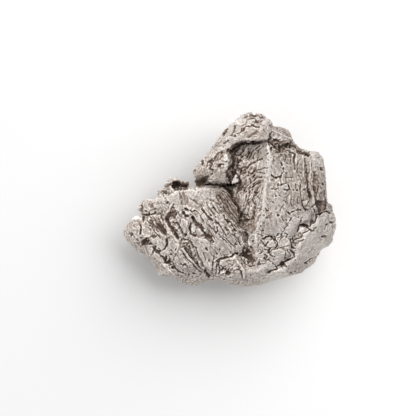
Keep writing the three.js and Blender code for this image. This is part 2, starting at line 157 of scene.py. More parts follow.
# Areas with straight edges that stand above or below their surroundings: height, how much it
# leans along x and y, roughness, oxide, then the corners. High oxide paints shade in the hollow
# and by the back block; oxide below nothing lightens a facet as a painted highlight.
FACETS = [
    # along the long deep groove
    (1.2, 0, 0, 1, 0, [(-11.6, -11.2), (-10, -11.2), (-7.4, -15), (-6, -17.4), (-6.6, -18.4),
     (-9.4, -14.8)]),
    # lobe
    (0.18, 0.03, 0.05, 0.1, -0.2, [(-11.2, 1.9), (-10.2, 0.1), (-8.9, 0.1), (-7.9, 0.6),
     (-7.7, 1.3), (-8.1, 2), (-9.5, 2.4)]),
    (0.12, 0.04, 0, 0.15, -0.05, [(-7.4, 1.5), (-7, 0.3), (-5.2, -0.1), (-3.9, -0.3), (-3.3, 0.6),
     (-3.9, 1.6), (-5.2, 2.3)]),
    (0.14, -0.04, 0.03, 0.1, 0, [(-16, 0.5), (-13.8, 1.7), (-12.7, 1.9), (-12.4, 0.2),
     (-12.1, -1.5), (-13.2, -1.6), (-14, -1.4), (-15.8, -0.2)]),
    (-0.15, 0, 0, 0.1, 0.2, [(-12.1, 1.7), (-11.3, 1.7), (-10.4, 0.1), (-9.8, -1.6),
     (-11.2, -1.8), (-11.9, -1.4)]),
    (-0.1, 0, 0, 0.3, 0.15, [(-9.6, 0.2), (-8.4, 0), (-7.6, -1.2), (-6.8, -2.6), (-7.9, -2.8),
     (-8.9, -1.5)]),
    (-0.1, 0, 0, 0.9, 0.16, [(-3.4, 1.9), (-2.9, 0.4), (-3.3, -0.9), (-1.6, -3.4), (0.6, -6.6),
     (2.4, -9.4), (3.2, -8.6), (1.6, -5.2), (0.2, -2.4), (-0.8, -0.4), (-1.7, 1.4)]),
    (0.2, 0, 0.1, 0.1, -0.18, [(-20.6, -0.3), (-18.6, 0.2), (-16.2, 0.5), (-16.1, -0.5),
     (-17.2, -0.9), (-18.6, -1)]),
    (0.1, 0, 0.05, 0.4, 0.06, [(-21.9, -0.9), (-20.2, -0.5), (-18.4, -1.3), (-17.4, -2.1),
     (-18.4, -3), (-19.8, -3.9), (-21.4, -3.5)]),
    (-0.35, 0, 0, 0.5, 0.5, [(-22.3, -1.1), (-21.6, -2.3), (-21.9, -3.4), (-22.5, -3.8),
     (-22.9, -3.1), (-22.3, -2.2)]),
    (0.25, -0.06, 0.06, 0.15, -0.2, [(-24.6, -5.6), (-23.2, -4.5), (-21.9, -4.3), (-21.9, -5.6),
     (-22.8, -6.4), (-24.2, -6.4)]),
    (0.15, 0, 0, 0.1, -0.05, [(-22, -6.6), (-20.9, -6.9), (-19.6, -8), (-19.8, -9.4),
     (-21.2, -9.8), (-22.1, -8.6)]),
    (-0.4, 0, 0, 1, 0.4, [(-13.9, -1.5), (-14.6, -2.6), (-15.3, -3.9), (-16.1, -5.2),
     (-15.5, -5.7), (-14.9, -4.9), (-14.3, -4.6), (-13.8, -5.2), (-13.4, -4.2), (-13.5, -2.4)]),
    (-0.3, 0, 0, 1, 0.32, [(-18.6, -6), (-17.2, -6.3), (-15.9, -8.2), (-15.6, -9.2),
     (-16.6, -9.2), (-17.9, -7.6)]),
    (0.18, 0.05, 0, 0.25, 0, [(-12.2, -4.9), (-10.2, -5.2), (-10.6, -7.2), (-11.4, -8.6),
     (-12.6, -6.8)]),
    (0.3, 0, 0, 0.05, -0.15, [(-9.5, -6.9), (-9, -6.4), (-8.6, -6.9), (-8.5, -7.9), (-9, -8.4),
     (-9.5, -7.9)]),
    (0.14, 0, 0.02, 0.12, -0.04, [(-9.6, -9.6), (-8.2, -9.6), (-6.2, -9.9), (-4.8, -11.2),
     (-5.2, -13.2), (-7, -13.4), (-8.4, -11.6), (-9.4, -10.4)]),
    (0.1, 0, 0, 0.25, -0.02, [(-4.2, -10.9), (-1.6, -10), (0.8, -12.2), (0.2, -13.8),
     (-2.4, -13.9), (-4.4, -13)]),
    (0.22, 0.03, -0.03, 0.35, -0.05, [(-15.4, -10), (-13.6, -9.8), (-12.6, -11.2), (-13, -13.4),
     (-14.4, -13.9), (-15.4, -12.2)]),
    (0.2, -0.03, -0.04, 0.3, -0.02, [(-18.4, -10.4), (-16.5, -10.2), (-16, -11.8), (-16.9, -13.2),
     (-18, -12.2)]),
    (0.15, 0, 0, 0.25, 0, [(-13.8, -14.4), (-11.8, -14.2), (-10.2, -15.9), (-10.4, -16.8),
     (-12.6, -16.1), (-13.9, -15.4)]),
    (0.1, 0, -0.05, 0.08, -0.05, [(-19.2, -14.3), (-17.6, -14.8), (-15.8, -16.9), (-13.6, -18.9),
     (-11.6, -19.8), (-12, -20.6), (-15.6, -19.3), (-17.6, -17.9)]),
    # the block below the crease
    (0.3, 0.03, 0.03, 0.35, -0.02, [(-2.5, -15.2), (-1, -14.9), (0.6, -14.6), (1.2, -14.4),
     (1.9, -16), (2.2, -17.5), (0.4, -17.7), (-1.5, -17.4), (-2.5, -16.6)]),
    (-0.4, 0, 0, 0.8, 0.35, [(-1.1, -18.3), (-0.4, -17.9), (0.3, -18.4), (0.3, -19),
     (-0.6, -19.3), (-1.2, -18.9)]),
    (-0.2, 0, 0, 0.3, 0.2, [(2.5, -13.6), (4, -12.3), (4.8, -13), (4.7, -14.2), (4.2, -15.3),
     (3.4, -14.8)]),
    (-0.2, 0, 0, 0.3, 0.15, [(4.6, -13.6), (5.4, -12.9), (6.2, -13.4), (6.3, -15), (6, -16.5),
     (5, -16.8), (4.2, -16), (4, -14.8)]),
    # the crease and its wall
    (-0.1, 0, 0, 0.8, 0.2, [(-2.4, 3.3), (-0.5, 2.9), (0.5, 1.6), (1.1, 0), (1.9, -1.6),
     (2.7, -2.8), (3.6, -4.2), (3.5, -5.8), (2.3, -3.8), (1.4, -2.4), (0.4, -0.6), (-0.4, 0.5),
     (-1.6, 2)]),
    (0, 0, 0, 0.8, 0.1, [(-3.2, 1.6), (-1.6, 2), (-0.3, 0.3), (1.2, -2.2), (2.6, -4.6),
     (3.8, -6.8), (4.6, -9), (4.4, -11.8), (3, -10.2), (1.6, -7.4), (0, -4.2), (-1.6, -1.6),
     (-2.9, 0.2)]),
    (-0.1, 0, 0, 1, 0.06, [(2.2, -8.2), (3.4, -8), (4.6, -8.2), (4.8, -9.4), (3.6, -9.5),
     (2.6, -9)]),
    (-0.5, 0, 0, 0.8, 0.4, [(5.55, -9.6), (5.95, -10.2), (5.95, -11.2), (5.5, -11.5),
     (5.2, -10.6)]),
    (-0.15, 0, 0, 1, 0.22, [(3.6, -4), (5.4, -4.3), (6.8, -5.3), (6.5, -7.4), (5.8, -8.6),
     (4.9, -8.9), (4.2, -7.6), (3.1, -6)]),
    # flank
    (0.2, 0.06, 0, 0.2, 0.02, [(2.5, 0.9), (3.1, 1.5), (3.7, 1.2), (3.9, 0), (3.6, -1.5),
     (3.1, -2.3), (2.5, -1.6), (2.35, -0.4)]),
    (0.25, 0, 0, 0.35, 0, [(6.2, 5.6), (8.2, 5.4), (9, 6.2), (8.8, 7.4), (7.4, 7), (6.4, 6.5)]),
    # the wall to the left of the hollow
    (0.2, 0, 0, 0.05, 0.14, [(-8.7, 5.7), (-8.3, 7.5), (-7.2, 8), (-5.6, 7.9), (-4.9, 7),
     (-5, 6.1), (-6.6, 5.5)]),
    (0.1, 0, 0.05, 0.25, 0.06, [(-4.7, 4.7), (-3.5, 6.4), (-2.3, 7.2), (-1.5, 6.9), (-1.2, 5.2),
     (-1.1, 4.3), (-4, 4.1)]),
    (0.3, 0.1, -0.06, 0.1, -0.18, [(-1.9, 9.6), (-1.2, 9.2), (-0.2, 9.4), (0.1, 10.7),
     (-0.3, 11.4), (-1.3, 11.1)]),
    (0.15, 0.05, 0, 0.15, -0.05, [(-2.3, 8.3), (-1.8, 7.5), (-0.7, 8), (-0.1, 8.8), (-0.4, 9.2),
     (-1.5, 8.9)]),
    (-0.25, 0, 0, 1, 0.22, [(-4.2, 9.2), (-3.1, 9), (-1.9, 10.2), (-1.6, 11.7), (-2.8, 11.6),
     (-3.9, 10.6)]),
    (-0.3, 0, 0, 0.8, 0.3, [(-7.1, 9.6), (-6.6, 9.8), (-6.2, 9), (-6.6, 8.2), (-7.3, 8.4)]),
    (0.15, 0, -0.04, 0.05, -0.1, [(-2.6, 12.5), (-1.6, 13.4), (-0.4, 13.8), (0.7, 13.9),
     (1.1, 13.3), (0.3, 12), (-0.5, 12.4), (-1.8, 12.1)]),
    (0.15, -0.04, 0, 0.15, -0.02, [(-7.4, 10), (-5.2, 12.2), (-4.2, 12.5), (-3.9, 11.6),
     (-5, 10.6), (-6.4, 10)]),
    (1.1, 0.1, 0.1, 0.2, -0.35, [(1.4, 6.2), (1.9, 6.2), (1.75, 5.2), (2.3, 4.5), (2, 4),
     (1, 3.9), (0.4, 4.1), (1.05, 5)]),
    # crown and crest
    (-0.4, 0, 0, 0.8, 0.3, [(-2, 15.9), (-1.3, 17.5), (-0.7, 17.8), (-0.5, 16.6), (-0.9, 15.7)]),
    (0.15, 0, 0, 0.08, 0.04, [(4, 17.5), (8, 17.6), (9.7, 16.9), (9.5, 15.2), (9.1, 14.5),
     (7.6, 14.3), (4.4, 14.2), (1.6, 14.1), (0.9, 14.6), (2.6, 15.5), (4.2, 16.3)]),
    (0.5, 0, 0.1, 0.3, -0.2, [(1.4, 18.2), (2.6, 18), (3.8, 18.4), (4, 19.2), (2.6, 19.5),
     (1.6, 19)]),
    (0.5, 0.1, 0, 0.3, -0.15, [(7.6, 18.2), (9.4, 17.9), (10.4, 18.4), (9.6, 19.3), (8.2, 19.7),
     (7.8, 18.9)]),
    (0.4, -0.1, 0, 0.3, -0.2, [(-0.5, 18.2), (0.6, 18), (1, 18.8), (0.4, 19.1), (-0.3, 18.7)]),
    (-0.3, 0, 0, 0.9, 0.25, [(4.5, 20.3), (5, 21.1), (6, 21.4), (7.2, 21), (6.4, 20.4),
     (5.4, 20.2)]),
    (0.1, 0, 0, 0.2, 0.14, [(11, 17), (11.5, 17.7), (12.4, 17.8), (13.8, 17), (15.2, 15.5),
     (15.3, 15), (14.2, 15.3), (13.2, 15.9), (12, 16.5)]),
    (0.1, 0, 0, 0.1, -0.05, [(10.2, 15.9), (10.8, 16.8), (12, 16.3), (13.8, 15.3), (15.6, 14.6),
     (14.2, 14.2), (12, 14.5), (10.4, 14.8)]),
    (-0.3, 0, 0, 1, 0.12, [(9.8, 13.9), (11.8, 14.2), (13.6, 13.6), (15.2, 13.4), (15.4, 12.6),
     (13.8, 12.2), (12.6, 11.4), (11.8, 12), (10.4, 12.4)]),
    (-0.5, 0, 0, 0.6, 0.32, [(16.4, 12.3), (17.4, 12.1), (18.6, 11.8), (19.4, 11.5), (19.9, 10.8),
     (19.7, 10.2), (18.6, 10.4), (17.2, 10.9), (16.4, 11.2)]),
    (0.15, 0, 0, 0.08, -0.04, [(20.3, 11.2), (21.9, 11.3), (22.8, 10.3), (23.2, 8.4), (22, 8.6),
     (20.5, 9.6)]),
    (-0.4, 0, 0, 0.5, 0.5, [(22.3, 8), (23, 7.8), (23.3, 6.9), (22.5, 6.8)]),
    # hollow, darkened under the crest and along its left wall with painted shade
    (-0.2, 0, 0, 0.8, 0.14, [(0.3, 11.4), (1.3, 13.2), (3.2, 14), (7.1, 14), (6.8, 13.2),
     (6, 12.8), (5, 13.1), (3.4, 12.2), (2, 11.9), (1.5, 10.9), (0.9, 10.6)]),
    (-0.1, 0, 0, 0.8, 0.14, [(0.1, 11.3), (0.6, 10), (0.4, 8.8), (0.2, 8), (-0.9, 7.3),
     (-1.1, 6.4), (-0.5, 5.2), (-0.2, 4.2), (0.6, 4.3), (1, 5.6), (1.6, 7.2), (2.3, 7.8),
     (1.8, 8.8), (1.7, 10)]),
    (0.3, 0, 0, 0.5, -0.05, [(2.6, 9.6), (3.4, 8.6), (4.6, 9.2), (4.4, 10.2), (3.4, 10.6)]),
    # back block and the gap beside it, both darkened with painted shade
    (-1.6, 0, 0, 0.5, 0.75, [(-14.3, 4.5), (-14.2, 2.2), (-12.6, 2), (-10.4, 2.3), (-10.2, 3.4),
     (-10.6, 4.6), (-11.8, 4.4), (-12, 3.9), (-12.3, 4.3), (-13.2, 4.6)]),
    (-0.5, 0, 0, 0.5, 0.6, [(-17.4, 2), (-16.6, 2.3), (-15, 2.3), (-15.4, 1.4), (-16.2, 1),
     (-16.9, 1.3)]),
    (0, 0, 0, 0.4, 0.9, [(-8.8, 4.3), (-7.4, 4.5), (-7, 5.4), (-5, 6), (-5, 5.4), (-6.6, 3.5),
     (-8, 3)]),
    # plateau
    (0.12, 0.02, 0, 0.08, -0.03, [(10.2, 8.2), (11.4, 8.9), (12.4, 8.3), (12.9, 7.2), (12.6, 6),
     (11.6, 5.4), (10.4, 5.9)]),
    (0.1, 0, 0, 0.1, -0.02, [(10.2, -3.4), (12.4, -2.8), (13.6, -1.4), (12.6, 0), (10.6, 0.1),
     (9.8, -1.6)]),
    (0.12, 0, 0.02, 0.1, -0.02, [(8.6, -6.4), (10.6, -5.6), (13.4, -6.4), (12.6, -8.6),
     (10.2, -9), (8.4, -8.6)]),
    (0.15, 0.03, 0, 0.15, 0, [(14.4, -6.2), (15.6, -4.6), (17.6, -4.9), (16.8, -7.4),
     (15.4, -9.4), (13.6, -9.2)]),
    (0.15, -0.04, 0, 0.12, 0, [(13, 3.4), (14, 3.5), (14.5, 2.5), (13.2, 2.3), (12.6, 2.7)]),
    (0.25, 0, 0, 0.3, 0.1, [(18.2, -0.6), (19.3, 0), (20.1, -0.6), (20.3, -1.6), (19.2, -2.5),
     (18.4, -2.3), (17.9, -1.4)]),
    (-0.45, 0, 0, 0.8, 0.2, [(21.3, -0.1), (22.2, -0.5), (23.3, -0.6), (23.8, -1.4), (23.9, -2.6),
     (23, -3), (21.8, -2.7), (21.3, -1.8), (21.1, -0.8)]),
    (0, 0, 0, 0.5, 0.3, [(24.4, -1.5), (25.1, -1.8), (25.8, -2.6), (24.7, -2.9), (24.2, -2.4)]),
    # lower right
    (0.25, 0, 0, 0.08, -0.06, [(8.9, -10.5), (9.9, -10.3), (11, -10.6), (11.3, -11.3),
     (10.8, -12.1), (9.4, -12.2), (8.8, -11.6)]),
    (0.22, 0, 0, 0.12, -0.05, [(10.4, -12.9), (12.6, -12.3), (13.7, -13), (13.5, -14.5),
     (12.4, -15.8), (11.4, -15.7), (10.9, -14.7), (10.3, -14)]),
    (0.15, 0, 0, 0.2, 0, [(12.4, -10), (14, -9.4), (15, -10.4), (14.6, -11.6), (13.2, -11.9),
     (12.3, -11.2)]),
    (0.15, 0, 0, 0.12, -0.05, [(7.4, -17), (9.2, -15.9), (11.2, -15.9), (11.2, -17), (9.4, -18.1),
     (6.4, -18.3)]),
    (0.3, -0.1, 0, 0.15, -0.1, [(6.4, -13.4), (7.4, -12.9), (8.2, -14.2), (7.9, -15.4),
     (6.8, -15.2), (6.3, -14.4)]),
    (-0.4, 0, 0, 0.9, 0.4, [(12.3, -16.2), (13.2, -15.7), (13.9, -16.2), (14.1, -17), (13, -17.4),
     (12.1, -16.9)]),
    (-0.4, 0, 0, 0.9, 0.3, [(6.7, -16), (7.2, -15.5), (7.8, -16), (8.5, -16), (7.5, -16.7),
     (6.5, -16.8)]),
    (0.45, 0, 0, 0.6, -0.25, [(16.9, -7.7), (17.3, -6.8), (18.2, -7.2), (18.6, -7.8),
     (17.6, -8.4), (16.9, -8.4)]),
    (0.4, 0, 0, 0.6, -0.25, [(16.3, -9.6), (17, -9), (17.7, -9.2), (17.4, -10.2), (16.6, -10.6)]),
    (0.35, 0, 0, 0.6, -0.25, [(16.4, -11.3), (17.3, -10.8), (17.9, -11.2), (17.3, -12.4),
     (16.5, -12.6)]),
    (0.3, 0, 0, 0.5, -0.2, [(18.3, -8.6), (19, -8.2), (19.4, -8.6), (18.6, -9.4), (18, -9.6)]),
]

# Cracks and dark grooves: half width, depth, oxide, then the points of each line.
GROOVES = [
    # left end of the lobe
    (0.28, 0.55, 0.6, [(-19.7, -5.3), (-18.9, -6.3), (-18.1, -7.4)],
     [(-18.9, -4.9), (-17.7, -6.8), (-16.5, -8.7)], [(-18, -4.9), (-16.9, -6.7), (-15.9, -8.3)]),
    (0.2, 0.4, 0.5, [(-19.9, -6.7), (-19, -7.8), (-18.4, -8.6)]),
    (0.3, 0.15, 0.12, [(-12.4, 1.6), (-12.2, 0), (-11.8, -1.4)]),
    (0.22, 0.25, 0.3, [(-9.8, 0), (-8.8, -0.6), (-8, -1.4)]),
    (0.18, 0.2, 0.3, [(-4.7, -0.5), (-4.3, -1.4), (-3.9, -2.4)]),
    (0.3, 0.3, 0.4, [(-15.9, -0.6), (-15.5, -1.1), (-15, -1.2)]),
    (0.3, 0.3, 0.35, [(-20.2, -3.4), (-19.4, -2.8), (-18.7, -2.6)]),
    (0.25, 0.3, 0.3, [(-21.4, -4.3), (-21.6, -5.2), (-21.5, -6)]),
    (0.28, 0.5, 0.4, [(-24, -4.4), (-22, -4.05), (-20, -3.95), (-18.4, -3.5)]),
    (0.3, 0.5, 0.5, [(-22.3, -6.5), (-22, -7.2), (-22.2, -7.8), (-22.4, -8.9)],
     [(-17.9, -3.8), (-17.3, -3.9), (-17, -4.6), (-16.4, -5.4)],
     [(-20, -11.3), (-19.2, -11.4), (-18.4, -11.9)]),
    (0.22, 0.45, 0.6, [(-19.7, -4.5), (-19, -5.6)], [(-19.1, -4.4), (-18.3, -5.6)],
     [(-18.5, -4.9), (-17.6, -6.2), (-17.2, -7.2)]),
    (0.2, 0.4, 0.5, [(-20.4, -5.4), (-19.4, -6.6), (-18.6, -7.8)],
     [(-19.8, -5.5), (-18.8, -6.9), (-17.9, -8.2)], [(-13.7, -8.1), (-12.9, -8)]),
    (0.18, 0.35, 0.45, [(-18.9, -6), (-17.9, -7.4), (-17, -8.6)]),
    (0.18, 0.35, 0.5, [(-17.6, -6.6), (-16.7, -8), (-16.1, -9)]),
    (0.22, 0.3, 0.3, [(-17, -3.4), (-16.3, -4.6), (-15.9, -5.6)]),
    (0.3, 0.5, 0.6, [(-13.9, -1.5), (-14.7, -2.7), (-15.2, -3.7), (-16, -5.1)]),
    (0.45, 0.7, 0.55, [(-15.6, -5), (-15, -6.4), (-14.2, -7.9), (-12.9, -9.8)]),
    (0.35, 0.6, 0.55, [(-13.3, -6.1), (-12.6, -7.1), (-11.8, -8.3), (-11.5, -9)]),
    (0.22, 0.4, 0.4, [(-19.6, -9.4), (-18.9, -9.9), (-18.2, -9.1), (-17.4, -9.8)]),
    (0.3, 0.5, 0.55, [(-15.7, -10), (-15.6, -11.5), (-16.4, -12.7)]),
    (0.25, 0.4, 0.4, [(-16.4, -12.7), (-17, -12.9), (-17.6, -12.4)]),
    (0.32, 0.55, 0.55, [(-18.7, -12.1), (-17.9, -13.4), (-17, -14.2), (-16.3, -15.2),
     (-15.7, -16.1)]),
    (0.25, 0.45, 0.5, [(-15.7, -16.1), (-15.2, -15.5), (-14.5, -15.8)]),
    (0.25, 0.45, 0.45, [(-25, -8.7), (-24.2, -9.2), (-23.6, -9.9), (-23, -10.5)]),
    (0.14, 0.15, 0.25, [(-19.4, -14.6), (-17.4, -16.6), (-15.6, -18.4)]),
    (0.12, 0.12, 0.2, [(-18.4, -15), (-16.6, -17), (-14.6, -18.6)]),
    # middle of the lobe
    (0.28, 0.5, 0.5, [(-9.5, -6.1), (-10, -7.5), (-9.6, -8.7), (-8.6, -9.3)]),
    (0.42, 0.7, 0.65, [(-9.1, -4.8), (-8.5, -5.9), (-7.9, -6.6)]),
    (0.62, 0.85, 0.65, [(-7.9, -6.5), (-7.2, -7.3), (-6.5, -8.3)]),
    (0.46, 0.7, 0.6, [(-6.5, -8.3), (-5.6, -9.2), (-4.6, -9.8), (-4.1, -10.7)]),
    (0.25, 0.45, 0.5, [(-11, -2.5), (-10.4, -2.8)], [(-9.9, -3), (-9.3, -3.2), (-8.9, -3)]),
    (0.4, 0.6, 0.6, [(-11.4, -3.5), (-10.9, -4.2), (-10.5, -4.4)]),
    (0.28, 0.5, 0.6, [(-5.4, -4.5), (-4.9, -5), (-4.4, -5.5)]),
    (0.2, 0.3, 0.35, [(-8.2, -3.2), (-7.4, -4.2), (-6.7, -5.4)],
     [(-6.9, -2.6), (-6, -3.9), (-5.2, -5.2)]),
    (0.14, 0.25, 0.3, [(-7.6, -1.2), (-6.4, -3), (-5.6, -4.2)]),
    (0.14, 0.25, 0.35, [(-6, -1), (-4.6, -3), (-3.4, -4.8)],
     [(-4.3, -1.6), (-3.6, -2.8), (-2.4, -4.2)]),
    (0.3, 0.45, 0.45, [(-5.3, -6.6), (-4.7, -7.1), (-4.1, -7.6)]),
    (0.2, 0.4, 0.45, [(-3.9, -7), (-3.8, -8), (-3.3, -8.6), (-2.9, -8), (-3.2, -7)]),
    (0.22, 0.4, 0.5, [(-3.6, -5.4), (-3, -6.2), (-2.2, -7)]),
    (0.16, 0.35, 0.45, [(-2.2, -7), (-1.4, -8.2), (-0.8, -9.4)]),
    (0.28, 0.45, 0.6, [(-1.4, -4.2), (-1.2, -5), (-0.6, -5.6), (0.2, -5.9)]),
    (0.25, 0.45, 0.6, [(-1, -7.1), (-0.3, -7.9)]),
    (0.25, 0.4, 0.6, [(0.4, -6.3), (0.9, -7), (1.5, -8)]),
    (0.12, 0.25, 0.45, [(-1.8, -9.2), (0.4, -11.2), (1.5, -12.3)],
     [(-2.8, -8.8), (-0.6, -11), (0.6, -12.4)]),
    (0.14, 0.3, 0.45, [(0.6, -8.6), (1.8, -9.9), (2.3, -10.9)]),
    (0.12, 0.25, 0.4, [(-0.4, -7.6), (1, -9.4), (1.8, -10.6)]),
    (0.12, 0.22, 0.35, [(-5.6, -7.6), (-4.4, -9.2), (-3, -10.8)]),
    (0.2, 0.4, 0.5, [(1.3, -11.6), (1.9, -11.4)]),
    (0.22, 0.45, 0.55, [(2, -9.5), (2.3, -10.5), (2.7, -11.5)]),
    (0.14, 0.25, 0.4, [(-3.4, 0.6), (-1.4, -2.4), (0.6, -5), (2.4, -7.6)]),
    (0.12, 0.22, 0.4, [(-2.6, 1), (-0.6, -2), (1.2, -4.6), (3, -7.4)],
     [(-1.8, 1.2), (0.2, -1.8), (1.8, -4.4)]),
    # the long deep groove and its surroundings
    (0.35, 0.6, 0.6, [(-12, -10.2), (-10.5, -10.4), (-9.6, -10.9), (-9.2, -12)]),
    (0.6, 0.4, 0.2, [(-11, -11.7), (-10, -12.6), (-9.2, -14), (-8.1, -15.7)]),
    (0.5, 0.8, 0.4, [(-8.1, -15.7), (-7.1, -17), (-6.2, -18.2), (-5.3, -19.5)]),
    (0.2, 1.1, 0.75, [(-10.3, -11.3), (-9.3, -12.8), (-8.3, -14.6), (-7.2, -16.6), (-6.3, -18)]),
    (0.18, 1, 0.7, [(-11.3, -12.4), (-10, -14.2), (-8.3, -15.9), (-6.9, -17.6)]),
    (0.16, 0.9, 0.6, [(-10.8, -12), (-9.6, -13.8), (-8, -15.6)]),
    (0.2, 0.4, 0.5, [(-11.6, -13.6), (-10.4, -15.2), (-9.2, -16.3), (-8.4, -17.2)]),
    (0.25, 0.45, 0.5, [(-8.7, -12.1), (-8.2, -13.5), (-7.5, -15)]),
    (0.22, 0.4, 0.4, [(-6.4, -13.6), (-6.1, -15.3)]),
    (0.3, 0.5, 0.5, [(-14.1, -16.2), (-13.5, -17.4), (-12.5, -18.4), (-11, -18.9)]),
    (0.22, 0.4, 0.5, [(-11.7, -16.6), (-11.2, -16.2), (-10.8, -16.9), (-10.1, -17.2)]),
    (0.2, 0.3, 0.3, [(-4, -14), (-4.2, -16), (-4.4, -18)],
     [(-3, -15.8), (-3.4, -17.4), (-3.6, -19)]),
    (0.25, 0.4, 0.5, [(-8.2, -17.4), (-7.6, -18.1)]),
    # bottom middle
    (0.28, 0.6, 0.65, [(-3.2, -15.5), (-2.2, -14.9), (-0.5, -14.6), (0.6, -14.3), (1.3, -13.7),
     (2.1, -13.8)]),
    (0.22, 0.45, 0.5, [(-2.6, -15.5), (-2.8, -16.6), (-2.5, -17.5)]),
    (0.25, 0.5, 0.65, [(-2.8, -18.7), (-2.4, -17.9), (-1.6, -17.6), (-0.9, -17.9)]),
    (0.2, 0.4, 0.5, [(2.3, -17.5), (2.8, -18.2), (2.8, -19), (3.3, -19.8)]),
    (0.18, 0.4, 0.5, [(-4.2, -19.4), (-2.8, -19.6), (-1.4, -20.3)]),
    (0.22, 0.4, 0.5, [(2.9, -15), (3.8, -16.1), (5, -16.9), (6.1, -16.5)]),
    (0.15, 0.2, 0.3, [(-1.6, -17), (-1.2, -16.8)], [(0.3, -16.9), (1, -16.2)]),
    # crack between the lobe and the upper mass
    (0.25, 0.9, 0.6, [(-6.2, 3.4), (-4, 3.45), (-1, 3.7), (1.2, 3.5), (2.3, 3.8)]),
    (0.3, 0.4, 0.5, [(-1.6, 3.2), (-0.4, 2.6), (0.3, 1.6), (0.8, 0.4)],
     [(1.8, -1.6), (2.4, -3), (3.2, -4.4), (3.6, -5.8)]),
    (0.25, 0.4, 0.5, [(2.3, 3.6), (2, 2.4), (1.8, 1.4)], [(3.4, -3.9), (4.4, -4.2), (5, -4.5)],
     [(4.5, -5.4), (5.2, -5.1), (5.7, -4.8)]),
    (0.2, 0.35, 0.5, [(6.6, -6.3), (6.5, -7), (6.2, -7.8)]),
    (0.18, 0.3, 0.4, [(4.3, -9.4), (4.4, -10.6), (4.3, -12)]),
    # left rim of the hollow
    (0.25, 0.45, 0.5, [(-4.9, 7.3), (-4.4, 7), (-4.3, 6.3), (-4.8, 5.9)]),
    (0.3, 0.45, 0.55, [(-7, 9.5), (-6.7, 8.9), (-6.9, 8.3)]),
    (0.28, 0.5, 0.65, [(-5.5, 8.6), (-5, 9.3), (-4.4, 9.9), (-4.3, 9.2)],
     [(-4.7, 8.9), (-4.5, 8.3), (-4.8, 7.9)]),
    (0.28, 0.45, 0.6, [(-3.1, 8), (-2.6, 8.3), (-1.8, 8.4)]),
    (0.2, 0.35, 0.45, [(-3.7, 10.3), (-3, 11.2), (-1.9, 11.5), (-1.4, 11.9)],
     [(-2.4, 11.4), (-2, 11.7)]),
    (0.22, 0.35, 0.4, [(-3.2, 12.4), (-2.4, 13.2)]),
    (0.18, 0.3, 0.4, [(-1.6, 12.7), (-1.1, 13.2)]),
    (0.2, 0.35, 0.5, [(-1.4, 13.8), (-0.6, 14.4)]),
    (0.22, 0.4, 0.5, [(-3, 14.5), (-2.3, 15.2)]),
    (0.18, 0.3, 0.45, [(-1.1, 14.8), (-0.5, 15.3)]),
    # inside the hollow; the first two lines darken the lip under the crest and the left wall with
    # painted shade
    (0.5, 0.6, 0.75, [(0.5, 11.6), (1.6, 13.1), (3, 13.8), (5, 13.8), (6.9, 13.8)]),
    (0.4, 0.5, 0.5, [(0.3, 11.2), (0.9, 9.4), (0.5, 8), (-0.7, 6.9), (0, 5.2), (0.1, 4.2)]),
    (0.25, 0.45, 0.6, [(2, 9.8), (2, 8.9), (1.7, 8.1)]),
    (0.28, 0.45, 0.6, [(1.8, 7.8), (2.6, 7.5), (3.4, 7.8), (4.2, 7.5), (4.8, 8.4), (5.4, 8.9),
     (6, 9.1)]),
    (0.22, 0.4, 0.5, [(2.3, 7.2), (3.1, 6.9), (3.7, 7.2)]),
    (0.2, 0.4, 0.55, [(4.9, 10.2), (5.3, 11.4), (6, 12), (6.8, 12.6), (7.3, 13.1)]),
    (0.18, 0.3, 0.4, [(4.3, 10.3), (4.8, 11.3)]),
    (0.25, 0.4, 0.6, [(6.9, 9.5), (7.7, 9.8)]),
    (0.14, 0.3, 0.45, [(7.7, 9.9), (8.6, 10.6), (9.2, 11.1)]),
    (0.3, 0.45, 0.55, [(2.6, 6.8), (2.4, 5.6), (2.5, 4.6), (2.3, 3.6)]),
    (0.18, 0.35, 0.5, [(4.8, 1.4), (4.7, 2.4), (5.5, 3), (6.6, 3.9), (7.5, 4.3)]),
    (0.14, 0.3, 0.4, [(6, 1.6), (6.4, 2.6), (7.4, 3.4)],
     [(6.6, 6.9), (7.6, 7.1), (8.6, 7.6), (9.4, 7.5)], [(4.9, 0.8), (4.4, -0.8), (4.8, -2.2)],
     [(5.6, -0.4), (6.2, -1.6), (5.6, -2.8), (6.2, -3.8)],
     [(6.8, 0.6), (7.4, -0.6), (6.8, -1.8), (7.4, -2.8)]),
    (0.16, 0.35, 0.5, [(6.4, 7.3), (6.6, 6.5), (7.6, 6.4), (8.6, 6.2)]),
    (0.16, 0.3, 0.4, [(4.4, 6.6), (5, 6.2), (5.8, 6.2)], [(4.5, 4.6), (5.2, 5.2), (6.2, 5.7)],
     [(3, 11.4), (2.6, 10.6), (3, 9.9)], [(6.9, 11.4), (7.4, 12.4), (8.2, 12.9)]),
    (0.16, 0.3, 0.45, [(4, 0.8), (3.9, -0.6), (3.4, -2)]),
    (0.14, 0.25, 0.35, [(5.9, 0.4), (6.8, 1.4), (7.8, 2.4)]),
    # crown and crest
    (0.28, 0.5, 0.65, [(9.9, 15.9), (9.7, 15.3), (10.1, 14.9), (9.5, 14.3), (9.2, 13.9)]),
    (0.3, 0.5, 0.6, [(9.5, 13.6), (10.2, 13.9), (11, 14.2), (11.8, 14.1)],
     [(13.8, 13.4), (14.4, 13.6), (15, 13.2), (15.6, 13), (16.1, 13), (16.3, 12.4), (16.6, 11.8)]),
    (0.28, 0.5, 0.6, [(14.4, 11.9), (14.9, 11.4), (15.4, 11.2), (16.2, 11)]),
    (0.35, 0.5, 0.5, [(18.2, 11.5), (19, 11.3), (19.6, 10.7)]),
    (0.5, 0.7, 0.6, [(-1.7, 16.1), (-1.3, 16.6), (-1, 17.5)]),
    (0.36, 0.6, 0.65, [(0.5, 15.6), (0.8, 16.6), (1.3, 17.9)]),
